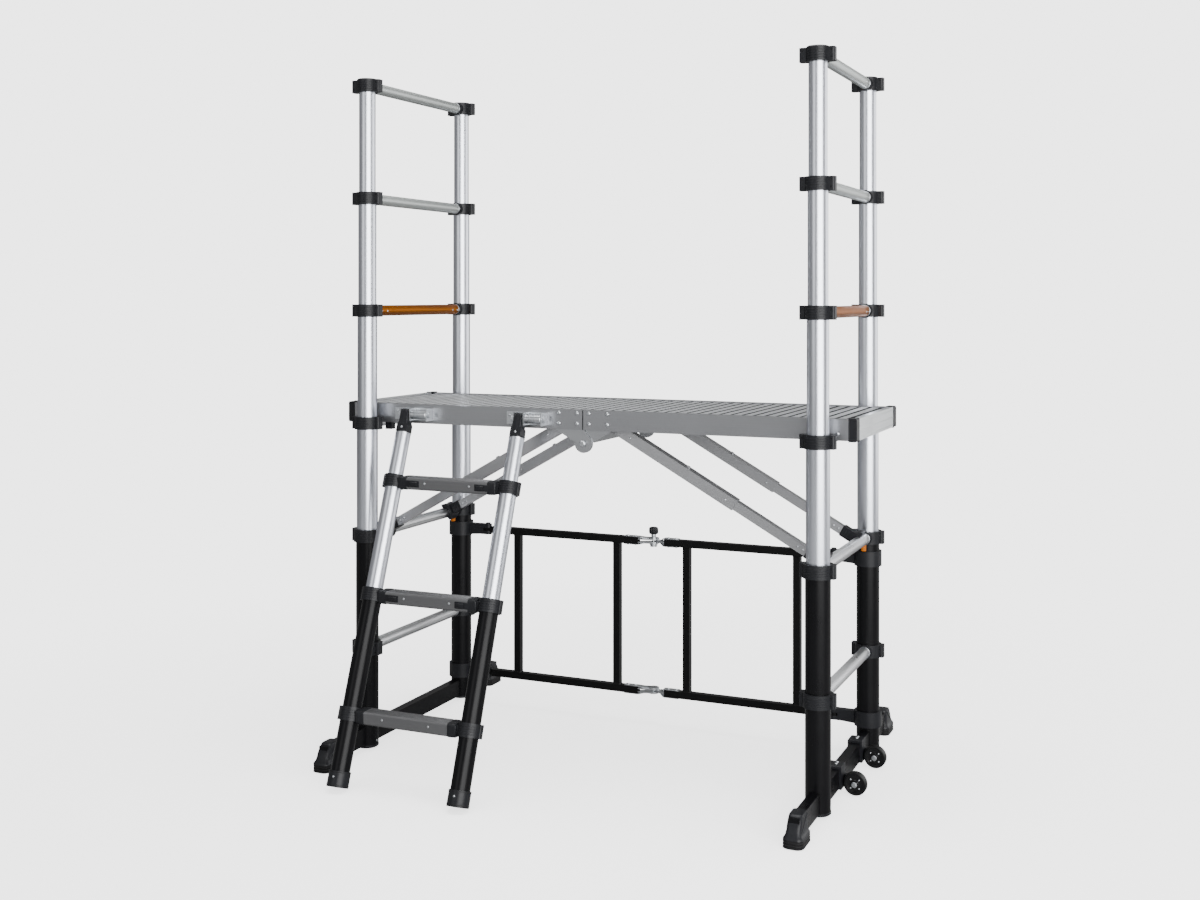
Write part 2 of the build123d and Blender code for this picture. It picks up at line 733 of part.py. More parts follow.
def ladder_bracket(x):
    """Plate on the platform's front rail with three cheeks and the axle for the ladder's head."""
    face = -deck_half_width - running_gap
    z0 = ladder_hinge_z - bracket_height / 2
    z1 = ladder_hinge_z + bracket_height / 2
    shape = block(-bracket_left, bracket_right, face - bracket_plate, face, z0, z1)
    cheek_x = ladder_head_top / 2 + 2
    for x0 in (-cheek_x - bracket_plate, cheek_x, bracket_right - bracket_plate):
        shape += block(x0, x0 + bracket_plate, face - bracket_reach, face, z0, z1)
    at_axle = Pos(0, ladder_hinge_y, ladder_hinge_z)
    shape -= at_axle * rod_x(ladder_axle, -bracket_left, bracket_right)
    axle = rod_x(ladder_axle, -cheek_x - bracket_plate, bracket_right)
    axle += rod_x(ladder_axle * 1.8, -cheek_x - bracket_plate - 5, -cheek_x - bracket_plate)
    axle += rod_x(ladder_axle * 2, cheek_x + bracket_plate, cheek_x + bracket_plate + 9)
    return [Pos(x, 0, 0) * shape, Pos(x, 0, 0) * at_axle * axle]


# ---- assembly ----
def tower_nodes():
    """Every node of the right tower, about its own plane."""
    nodes = {
        "outer_stiles": outer_stiles(),
        "fixed_stiles": tower_tubes(fixed_od, level(2) - insertion, tube_top(3)),
        "fixed_collars": fixed_collars(),
        "fixed_rungs": fixed_rungs(),
        "base_bar": base_bar(),
        "feet": feet(),
        "release_button": release_button(),
    }
    for n, diameter in section_od.items():
        following = section_od.get(n + 1)
        nodes[f"stiles_{n}"] = tower_tubes(diameter, level(n - 1) - insertion, tube_top(n))
        if following:
            collar = stile_collar(diameter, following, socket_reach)
        else:
            collar = top_cap(diameter)
        nodes[f"collars_{n}"] = both_stiles(Pos(0, 0, level(n)) * collar)
        nodes[f"rung_{n}"] = [Pos(0, 0, level(n)) * rung(diameter)]
    return nodes


def half_nodes():
    """Every node of one half of the platform, struts and brace, drawn as the right half."""
    return {
        "deck_frame": deck_frame(),
        "deck_slats": deck_slats(),
        "deck_caps": deck_caps(),
        "strut_outers": strut_outers(),
        "strut_inners": strut_inners(),
    }


def brace_nodes(side):
    solids = brace_half_frame()
    for z in (brace_top_z, brace_bottom_z):
        solids += left_brace_plates(z) if side == "left" else right_brace_tongue(z)
    if side == "left":
        solids.append(brace_hinge_rivet())
    return solids


def hinge_nodes(side):
    web = deck_half_width - deck_wall
    if side == "left":
        return left_hinge() + [pivot_rod(web - hinge_plate)]
    return right_hinge() + [pivot_rod(web - 2 * hinge_plate - 0.5)]


def ladder_nodes():
    lower, middle, top = ladder_treads
    brackets = []
    for x in ladder_xs:
        brackets += ladder_bracket(x)
    return {
        "ladder_brackets": brackets,
        "ladder_heads": ladder_pair(ladder_head()),
        "ladder_top_stiles": ladder_tubes("top", ladder_head_length, top + ladder_insertion),
        "ladder_middle_stiles": ladder_tubes("middle", ladder_top_of(top), middle + ladder_insertion),
        "ladder_middle_collars": collar_pair("middle", "top", top),
        "ladder_middle_tread": [tread_at(top)],
        "ladder_lower_stiles": ladder_tubes("lower", ladder_top_of(middle), ladder_foot - 6),
        "ladder_lower_collars": ladder_lower_collars(),
        "ladder_lower_treads": [tread_at(lower), tread_at(middle)],
    }


def mirrored(solids):
    return [mirror(s, about=Plane.YZ) for s in solids]


def all_nodes():
    nodes = {}
    for name, solids in tower_nodes().items():
        placed = [Pos(half_span, 0, 0) * s for s in solids]
        nodes[f"right_{name}"] = placed
        nodes[f"left_{name}"] = mirrored(placed)
    for name, solids in half_nodes().items():
        nodes[f"right_{name}"] = solids
        nodes[f"left_{name}"] = mirrored(solids)
    nodes["right_deck_hinge"] = hinge_nodes("right")
    nodes["left_deck_hinge"] = mirrored(hinge_nodes("left"))
    nodes["right_brace_frame"] = brace_nodes("right")
    nodes["left_brace_frame"] = mirrored(brace_nodes("left"))
    nodes["brace_lock_pin"] = brace_lock_pin()
    brackets = []
    for name, y in wheel_ys.items():
        nodes[f"{name}_wheel"] = [Pos(half_span, 0, 0) * s for s in wheel(y)]
        brackets += [Pos(half_span, 0, 0) * s for s in wheel_bracket(y)]
    nodes["wheel_brackets"] = brackets
    nodes.update(ladder_nodes())
    return nodes


def main():
    os.makedirs("parts", exist_ok=True)
    to_row = Pos(0, -depth_centre, 0)
    for name, pieces in all_nodes().items():
        solids = []
        for piece in pieces:
            solids += (to_row * piece).solids()
        export_step(Compound(children=solids), f"parts/{name}.step")


main()
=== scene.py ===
import logging
import math
from dataclasses import dataclass
from enum import Enum
from typing import Callable, Iterable, Sequence

import bmesh
import bpy
from mathutils import Euler, Matrix, Vector


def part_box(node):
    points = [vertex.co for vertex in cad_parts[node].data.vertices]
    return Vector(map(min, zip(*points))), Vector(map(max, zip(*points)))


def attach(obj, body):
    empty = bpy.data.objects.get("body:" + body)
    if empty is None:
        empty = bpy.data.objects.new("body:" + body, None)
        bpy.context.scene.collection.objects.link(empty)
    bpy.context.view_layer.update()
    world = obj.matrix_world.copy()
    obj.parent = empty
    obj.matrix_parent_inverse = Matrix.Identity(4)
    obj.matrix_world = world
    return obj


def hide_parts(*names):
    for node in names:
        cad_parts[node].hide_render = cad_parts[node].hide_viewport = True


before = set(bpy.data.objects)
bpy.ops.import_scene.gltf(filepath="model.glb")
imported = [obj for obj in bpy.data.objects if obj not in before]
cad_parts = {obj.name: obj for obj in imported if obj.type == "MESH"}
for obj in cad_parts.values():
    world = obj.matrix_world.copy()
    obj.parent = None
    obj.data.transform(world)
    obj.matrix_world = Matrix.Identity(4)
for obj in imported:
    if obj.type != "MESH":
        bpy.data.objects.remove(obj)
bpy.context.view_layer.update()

LOG = logging.getLogger("scaffold")
MM = 0.001
SHARP_ANGLE = math.radians(32)

Point = tuple[float, float, float]
Colour = tuple[float, float, float]


class Side(Enum):
    """The two ends of the scaffold, with the sign of X that each stands on."""

    LEFT = -1
    RIGHT = 1

    @property
    def word(self) -> str:
        """The side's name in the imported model."""
        return self.name.lower()


class Run(Enum):
    """The direction in which a part was drawn or extruded."""

    UP = (0.0, 0.0, 1.0)
    ALONG = (1.0, 0.0, 0.0)
    ACROSS = (0.0, 1.0, 0.0)


# ---------------------------------------------------------------- shader groups
def add(tree: bpy.types.NodeTree, kind: str, values: dict[str | int, object] | None = None,
        **settings: object) -> bpy.types.Node:
    """Adds a node with its own settings and the values of its sockets.

    Args:
        tree: where the node goes.
        kind: its type.
        values: socket, by name or number, to value.
        settings: the node's settings.

    Returns:
        The node.
    """
    node = tree.nodes.new(kind)
    for setting, choice in settings.items():
        setattr(node, setting, choice)
    for socket, value in (values or {}).items():
        node.inputs[socket].default_value = value
    return node


class ShaderKit:
    """The node groups that the finishes share, each made once."""

    def __init__(self) -> None:
        """Builds the groups."""
        self.lines = self._lines()
        self.mottle = self._mottle()
        self.grain = self._grain()
        self.dust = self._dust()
        self.wear = self._wear()

    @staticmethod
    def _group(name: str, inputs: dict[str, str], outputs: dict[str, str]) -> bpy.types.NodeTree:
        """Makes an empty group with its sockets.

        Args:
            name: name of the group.
            inputs: socket name to socket type.
            outputs: socket name to socket type.

        Returns:
            The group, with its input and output nodes.
        """
        tree = bpy.data.node_groups.new(name, "ShaderNodeTree")
        for socket, kind in inputs.items():
            tree.interface.new_socket(socket, in_out="INPUT", socket_type=kind)
        for socket, kind in outputs.items():
            tree.interface.new_socket(socket, in_out="OUTPUT", socket_type=kind)
        tree.nodes.new("NodeGroupInput").name = "in"
        tree.nodes.new("NodeGroupOutput").name = "out"
        return tree

    def _lines(self) -> bpy.types.NodeTree:
        """Fine draw or extrusion lines: noise pulled long by a stretch of the coordinates."""
        tree = self._group(
            "draw_lines",
            {"Vector": "NodeSocketVector", "Stretch": "NodeSocketVector", "Contrast": "NodeSocketFloat"},
            {"Mask": "NodeSocketFloat"},
        )
        nodes, links = tree.nodes, tree.links
        pull = add(tree, "ShaderNodeVectorMath", operation="MULTIPLY")
        noise = add(tree, "ShaderNodeTexNoise", {"Scale": 1.0, "Detail": 3.0, "Roughness": 0.65})
        around = add(tree, "ShaderNodeMath", {1: 0.5}, operation="SUBTRACT")
        scale = add(tree, "ShaderNodeMath", {2: 0.5}, operation="MULTIPLY_ADD", use_clamp=True)
        links.new(nodes["in"].outputs["Vector"], pull.inputs[0])
        links.new(nodes["in"].outputs["Stretch"], pull.inputs[1])
        links.new(pull.outputs[0], noise.inputs["Vector"])
        links.new(noise.outputs["Fac"], around.inputs[0])
        links.new(around.outputs[0], scale.inputs[0])
        links.new(nodes["in"].outputs["Contrast"], scale.inputs[1])
        links.new(scale.outputs[0], nodes["out"].inputs["Mask"])
        return tree

    def _mottle(self) -> bpy.types.NodeTree:
        """Slow cloudy change over a surface, as handling and coating leave it."""
        tree = self._group(
            "mottle",
            {"Vector": "NodeSocketVector", "Scale": "NodeSocketFloat"},
            {"Mask": "NodeSocketFloat"},
        )
        nodes, links = tree.nodes, tree.links
        noise = add(tree, "ShaderNodeTexNoise", {"Detail": 5.0, "Roughness": 0.55})
        spread = add(tree, "ShaderNodeMapRange", {"From Min": 0.32, "From Max": 0.68})
        links.new(nodes["in"].outputs["Vector"], noise.inputs["Vector"])
        links.new(nodes["in"].outputs["Scale"], noise.inputs["Scale"])
        links.new(noise.outputs["Fac"], spread.inputs["Value"])
        links.new(spread.outputs["Result"], nodes["out"].inputs["Mask"])
        return tree

    def _grain(self) -> bpy.types.NodeTree:
        """Pebbled height of a moulded or powder-coated surface."""
        tree = self._group(
            "grain",
            {"Vector": "NodeSocketVector", "Scale": "NodeSocketFloat"},
            {"Height": "NodeSocketFloat"},
        )
        nodes, links = tree.nodes, tree.links
        cells = add(tree, "ShaderNodeTexVoronoi", feature="SMOOTH_F1")
        noise = add(tree, "ShaderNodeTexNoise", {"Detail": 2.0})
        both = add(tree, "ShaderNodeMath", operation="MULTIPLY")
        for texture in (cells, noise):
            links.new(nodes["in"].outputs["Vector"], texture.inputs["Vector"])
            links.new(nodes["in"].outputs["Scale"], texture.inputs["Scale"])
        links.new(cells.outputs["Distance"], both.inputs[0])
        links.new(noise.outputs["Fac"], both.inputs[1])
        links.new(both.outputs[0], nodes["out"].inputs["Height"])
        return tree

    def _dust(self) -> bpy.types.NodeTree:
        """Thin dust on faces that look up, broken up by noise."""
        tree = self._group(
            "settled_dust",
            {"Vector": "NodeSocketVector", "Amount": "NodeSocketFloat"},
            {"Mask": "NodeSocketFloat"},
        )
        nodes, links = tree.nodes, tree.links
        geometry = add(tree, "ShaderNodeNewGeometry")
        split = add(tree, "ShaderNodeSeparateXYZ")
        up = add(tree, "ShaderNodeMapRange", {"From Min": 0.55})
        noise = add(tree, "ShaderNodeTexNoise", {"Scale": 42.0, "Detail": 6.0})
        patch = add(tree, "ShaderNodeMath", operation="MULTIPLY")
        level = add(tree, "ShaderNodeMath", operation="MULTIPLY")
        links.new(geometry.outputs["Normal"], split.inputs[0])
        links.new(split.outputs["Z"], up.inputs["Value"])
        links.new(nodes["in"].outputs["Vector"], noise.inputs["Vector"])
        links.new(up.outputs["Result"], patch.inputs[0])
        links.new(noise.outputs["Fac"], patch.inputs[1])
        links.new(patch.outputs[0], level.inputs[0])
        links.new(nodes["in"].outputs["Amount"], level.inputs[1])
        links.new(level.outputs[0], nodes["out"].inputs["Mask"])
        return tree

    def _wear(self) -> bpy.types.NodeTree:
        """Rubbed edges: where the rounded normal leaves the true one."""
        tree = self._group(
            "edge_wear",
            {"Vector": "NodeSocketVector", "Radius": "NodeSocketFloat", "Amount": "NodeSocketFloat"},
            {"Mask": "NodeSocketFloat"},
        )
        nodes, links = tree.nodes, tree.links
        bevel = add(tree, "ShaderNodeBevel", samples=4)
        geometry = add(tree, "ShaderNodeNewGeometry")
        facing = add(tree, "ShaderNodeVectorMath", operation="DOT_PRODUCT")
        edge = add(tree, "ShaderNodeMapRange", {"From Min": 0.97, "From Max": 0.80})
        noise = add(tree, "ShaderNodeTexNoise", {"Scale": 160.0})
        patch = add(tree, "ShaderNodeMath", operation="MULTIPLY")
        level = add(tree, "ShaderNodeMath", operation="MULTIPLY")
        links.new(nodes["in"].outputs["Radius"], bevel.inputs["Radius"])
        links.new(bevel.outputs["Normal"], facing.inputs[0])
        links.new(geometry.outputs["Normal"], facing.inputs[1])
        links.new(facing.outputs["Value"], edge.inputs["Value"])
        links.new(nodes["in"].outputs["Vector"], noise.inputs["Vector"])
        links.new(edge.outputs["Result"], patch.inputs[0])
        links.new(noise.outputs["Fac"], patch.inputs[1])
        links.new(patch.outputs[0], level.inputs[0])
        links.new(nodes["in"].outputs["Amount"], level.inputs[1])
        links.new(level.outputs[0], nodes["out"].inputs["Mask"])
        return tree


# ---------------------------------------------------------------- finishes
@dataclass(frozen=True)
class Finish:
    """One surface finish. Lengths in the coordinates are metres."""

    name: str
    colour: Colour
    streak: Colour
    metallic: float
    roughness: float
    spread: float = 0.06
    coat: float = 0.0
    coat_roughness: float = 0.1
    specular: float = 0.5
    run: Run = Run.UP
    tilt: Point = (0.0, 0.0, 0.0)
    line_fineness: float = 900.0
    line_amount: float = 0.35
    line_bump: float = 0.0
    grain_scale: float = 1400.0
    grain_bump: float = 0.0
    mottle_scale: float = 9.0
    mottle_amount: float = 0.3
    dust: float = 0.0
    dust_colour: Colour = (0.42, 0.40, 0.37)
    wear: float = 0.0
    wear_colour: Colour = (0.30, 0.30, 0.30)

    def turned(self, name: str, run: Run, tilt: Point = (0.0, 0.0, 0.0)) -> "Finish":
        """The same finish with its lines in another direction.

        Args:
            name: name of the new finish.
            run: direction of the lines.
            tilt: Euler angles, in degrees, that bring the part upright.

        Returns:
            The new finish.
        """
        values = {**self.__dict__, "name": name, "run": run, "tilt": tilt}
        return Finish(**values)

    def stretch(self) -> Point:
        """How the coordinates are scaled so that noise makes lines along the run."""
        slow = self.line_fineness / 260.0
        return tuple(slow if part else self.line_fineness for part in self.run.value)


SILVER = Finish("satin_silver_tube", (0.74, 0.765, 0.83), (0.66, 0.685, 0.745), 1.0, 0.30, 0.03,
                line_amount=0.35, line_bump=0.008, mottle_scale=5.0, mottle_amount=0.10)
BLACK_TUBE = Finish("semi_gloss_black_tube", (0.0024, 0.0024, 0.0030), (0.0045, 0.0045, 0.0055), 0.0, 0.30, 0.05,
                    specular=0.16, line_amount=0.4, line_bump=0.002, mottle_scale=12.0, wear=0.02)
BLACK_BAR = BLACK_TUBE.turned("semi_gloss_black_bar", Run.ACROSS)
NYLON = Finish("moulded_black_nylon", (0.0080, 0.0085, 0.0105), (0.012, 0.0125, 0.015), 0.0, 0.40, 0.07,
               specular=0.26, line_amount=0.15, grain_scale=1500.0, grain_bump=0.05, mottle_scale=30.0,
               dust=0.01, wear=0.10, wear_colour=(0.05, 0.05, 0.055))
BOOT_RUBBER = Finish("black_boot_rubber", (0.0075, 0.0075, 0.0085), (0.012, 0.012, 0.013), 0.0, 0.50, 0.08,
                     specular=0.25, line_amount=0.1, grain_scale=900.0, grain_bump=0.10, mottle_scale=40.0,
                     dust=0.02, wear=0.12, wear_colour=(0.05, 0.05, 0.05))
TYRE = Finish("black_wheel_rubber", (0.0045, 0.0045, 0.0050), (0.008, 0.008, 0.009), 0.0, 0.36, 0.07,
              specular=0.22, run=Run.ACROSS, line_amount=0.1, grain_scale=1100.0, grain_bump=0.05,
              mottle_scale=60.0, dust=0.01)
HUB = Finish("gloss_black_hub", (0.0040, 0.0040, 0.0045), (0.007, 0.007, 0.008), 0.0, 0.18, 0.05, coat=0.2,
             specular=0.25, line_amount=0.1, mottle_scale=60.0, wear=0.08, wear_colour=(0.08, 0.08, 0.08))
BRIGHT_RUNG = Finish("bright_rung", (0.74, 0.75, 0.76), (0.58, 0.59, 0.61), 1.0, 0.30, 0.05, run=Run.ACROSS,
                     line_amount=0.5, line_bump=0.015, mottle_scale=10.0, mottle_amount=0.12, dust=0.02)
GREY_RUNG = Finish("grey_rung", (0.50, 0.525, 0.515), (0.38, 0.40, 0.39), 0.9, 0.38, 0.05, run=Run.ACROSS,
                   line_amount=0.5, line_bump=0.012, mottle_scale=10.0, mottle_amount=0.15, dust=0.01)
ORANGE_RUNG = Finish("orange_rung", (0.32, 0.094, 0.0003), (0.22, 0.060, 0.0002), 1.0, 0.38, 0.05, run=Run.ACROSS,
                     line_amount=0.4, line_bump=0.008, mottle_scale=14.0, mottle_amount=0.2,
                     wear=0.08, wear_colour=(0.45, 0.18, 0.01))
ORANGE_PLASTIC = Finish("orange_button", (0.46, 0.125, 0.001), (0.38, 0.10, 0.001), 0.0, 0.38, 0.05,
                        specular=0.3, line_amount=0.1, grain_scale=1600.0, grain_bump=0.04, mottle_scale=60.0)
RAIL = Finish("mill_rail", (0.33, 0.335, 0.35), (0.26, 0.265, 0.28), 0.9, 0.36, 0.04, run=Run.ALONG,
              line_amount=0.5, line_bump=0.004, mottle_scale=7.0, mottle_amount=0.2, dust=0.01, wear=0.25,
              wear_colour=(0.60, 0.61, 0.62))
END_BEAM = Finish("bright_end_beam", (0.74, 0.76, 0.77), (0.60, 0.62, 0.63), 0.9, 0.34, 0.05, run=Run.ACROSS,
                  line_amount=0.6, line_bump=0.02, mottle_scale=8.0, mottle_amount=0.15, wear=0.3,
                  wear_colour=(0.80, 0.80, 0.81))
SLAT = Finish("mill_slat", (0.50, 0.51, 0.525), (0.38, 0.39, 0.40), 0.45, 0.34, 0.06, run=Run.ACROSS,
              line_amount=0.5, line_bump=0.006, mottle_scale=12.0, mottle_amount=0.2, dust=0.01, wear=0.2,
              wear_colour=(0.75, 0.76, 0.77))
# Painted shade: a near-black copy of the slat metal on the slats' sides, for the shade in the gaps between slats.
SHADED_SLAT_SIDE = Finish("dull_slat_side", (0.030, 0.031, 0.033), (0.020, 0.021, 0.022), 0.3, 0.55, 0.06, run=Run.ACROSS,
                   specular=0.2, line_amount=0.4, line_bump=0.010, mottle_scale=12.0)
STRUT = Finish("mill_strut", (0.46, 0.465, 0.48), (0.37, 0.375, 0.39), 0.9, 0.38, 0.04, run=Run.ALONG,
               line_amount=0.5, line_bump=0.004, mottle_scale=8.0, mottle_amount=0.2, dust=0.01, wear=0.20,
               wear_colour=(0.70, 0.71, 0.72))
HINGE_PLATE = Finish("dull_zinc_hinge", (0.40, 0.41, 0.425), (0.30, 0.31, 0.325), 0.9, 0.38, 0.05,
                     line_amount=0.3, line_bump=0.004, mottle_scale=16.0, mottle_amount=0.25, wear=0.25,
                     wear_colour=(0.66, 0.67, 0.68))
TREAD = Finish("dark_grey_tread", (0.150, 0.151, 0.156), (0.110, 0.111, 0.115), 0.7, 0.42, 0.05, run=Run.ALONG,
               line_amount=0.5, line_bump=0.015, mottle_scale=14.0, mottle_amount=0.2, dust=0.02, wear=0.35,
               wear_colour=(0.42, 0.42, 0.43))
ZINC = Finish("bright_zinc", (0.56, 0.58, 0.60), (0.44, 0.46, 0.49), 1.0, 0.34, 0.04, line_amount=0.2,
              mottle_scale=18.0, mottle_amount=0.2)
# Black powder coat of the brace; on the deck frame's cut ends at the seam it is painted shade.
POWDER_AND_SEAM_SHADE = Finish("black_powder_coat", (0.0026, 0.0026, 0.0028), (0.005, 0.005, 0.0055), 0.0, 0.38, 0.04,
                specular=0.16, line_amount=0.1, grain_scale=1300.0, grain_bump=0.012, mottle_scale=24.0, wear=0.03)
STEEL_SCREW = Finish("dark_screw", (0.03, 0.03, 0.034), (0.06, 0.06, 0.06), 0.9, 0.32, 0.08, line_amount=0.2,
                     mottle_scale=90.0)


class FinishShop:
    """Makes each finish's material once, from the shared groups."""

    def __init__(self, kit: ShaderKit) -> None:
        """Keeps the groups.

        Args:
            kit: the shader groups.
        """
        self.kit = kit
        self.made: dict[str, bpy.types.Material] = {}

    def material(self, finish: Finish) -> bpy.types.Material:
        """The material of a finish.

        Args:
            finish: the finish.

        Returns:
            Its material, made on first use.
        """
        if finish.name not in self.made:
            self.made[finish.name] = self._build(finish)
        return self.made[finish.name]

    @staticmethod
    def _place(tree: bpy.types.NodeTree, group: bpy.types.NodeTree, vector: bpy.types.NodeSocket,
               **values: float) -> bpy.types.Node:
        """Puts a group into a material with its own values."""
        node = add(tree, "ShaderNodeGroup", node_tree=group)
        tree.links.new(vector, node.inputs["Vector"])
        for socket, value in values.items():
            node.inputs[socket].default_value = value
        return node

    @staticmethod
    def _mix(tree: bpy.types.NodeTree, mask: bpy.types.NodeSocket, first: object, second: Colour,
             amount: float = 1.0) -> bpy.types.NodeSocket:
        """Mixes a colour over another by a mask.

        Args:
            tree: the material's tree.
            mask: how much of the second colour shows.
            first: a colour or a colour socket.
            second: the colour on top.
            amount: scales the mask.

        Returns:
            The mixed colour's socket.
        """
        level = add(tree, "ShaderNodeMath", {1: amount}, operation="MULTIPLY", use_clamp=True)
        tree.links.new(mask, level.inputs[0])
        mix = add(tree, "ShaderNodeMix", data_type="RGBA")
        tree.links.new(level.outputs[0], mix.inputs["Factor"])
        base, top = mix.inputs[6], mix.inputs[7]
        if isinstance(first, bpy.types.NodeSocket):
            tree.links.new(first, base)
        else:
            base.default_value = (*first, 1.0)
        top.default_value = (*second, 1.0)
        return mix.outputs[2]

    def _build(self, finish: Finish) -> bpy.types.Material:
        """Builds the node tree of one finish."""
        material = bpy.data.materials.new(finish.name)
        material.use_nodes = True
        tree = material.node_tree
        nodes, links = tree.nodes, tree.links
        shader = nodes["Principled BSDF"]
        shader.inputs["Metallic"].default_value = finish.metallic
        shader.inputs["Coat Weight"].default_value = finish.coat
        shader.inputs["Coat Roughness"].default_value = finish.coat_roughness
        shader.inputs["Specular IOR Level"].default_value = finish.specular
        place = add(tree, "ShaderNodeTexCoord")
        turn = add(tree, "ShaderNodeMapping", {"Rotation": [math.radians(angle) for angle in finish.tilt]})
        links.new(place.outputs["Object"], turn.inputs["Vector"])
        vector = turn.outputs["Vector"]
        lines = self._place(tree, self.kit.lines, vector, Stretch=finish.stretch(), Contrast=2.2)
        cloud = self._place(tree, self.kit.mottle, vector, Scale=finish.mottle_scale)
        colour = self._mix(tree, lines.outputs["Mask"], finish.colour, finish.streak, finish.line_amount)
        colour = self._mix(tree, cloud.outputs["Mask"], colour, finish.streak, finish.mottle_amount)
        if finish.wear:
            worn = self._place(tree, self.kit.wear, vector, Radius=0.0009, Amount=finish.wear)
            colour = self._mix(tree, worn.outputs["Mask"], colour, finish.wear_colour)
        if finish.dust:
            dusty = self._place(tree, self.kit.dust, vector, Amount=finish.dust)
            colour = self._mix(tree, dusty.outputs["Mask"], colour, finish.dust_colour)
        links.new(colour, shader.inputs["Base Color"])
        self._roughness(tree, finish, cloud.outputs["Mask"], lines.outputs["Mask"], shader)
        self._relief(tree, finish, vector, lines.outputs["Mask"], shader)
        material.diffuse_color = (*finish.colour, 1.0)
        return material

    @staticmethod
    def _roughness(tree: bpy.types.NodeTree, finish: Finish, cloud: bpy.types.NodeSocket,
                   lines: bpy.types.NodeSocket, shader: bpy.types.Node) -> None:
        """Lets the roughness wander with the clouds and the lines."""
        both = add(tree, "ShaderNodeMath", {1: 0.4}, operation="MULTIPLY_ADD")
        tree.links.new(lines, both.inputs[0])
        tree.links.new(cloud, both.inputs[2])
        span = add(tree, "ShaderNodeMapRange",
                   {"From Max": 1.4,
                    "To Min": finish.roughness - finish.spread, "To Max": finish.roughness + finish.spread})
        tree.links.new(both.outputs[0], span.inputs["Value"])
        tree.links.new(span.outputs["Result"], shader.inputs["Roughness"])

    def _relief(self, tree: bpy.types.NodeTree, finish: Finish, vector: bpy.types.NodeSocket,
                lines: bpy.types.NodeSocket, shader: bpy.types.Node) -> None:
        """Adds the fine height of lines and grain."""
        height = None
        distance = 0.0
        if finish.grain_bump:
            pebbles = self._place(tree, self.kit.grain, vector, Scale=finish.grain_scale)
            height, distance = pebbles.outputs["Height"], finish.grain_bump
        elif finish.line_bump:
            height, distance = lines, finish.line_bump
        if height is None:
            return
        bump = add(tree, "ShaderNodeBump", {"Distance": distance * MM})
        tree.links.new(height, bump.inputs["Height"])
        tree.links.new(bump.outputs["Normal"], shader.inputs["Normal"])


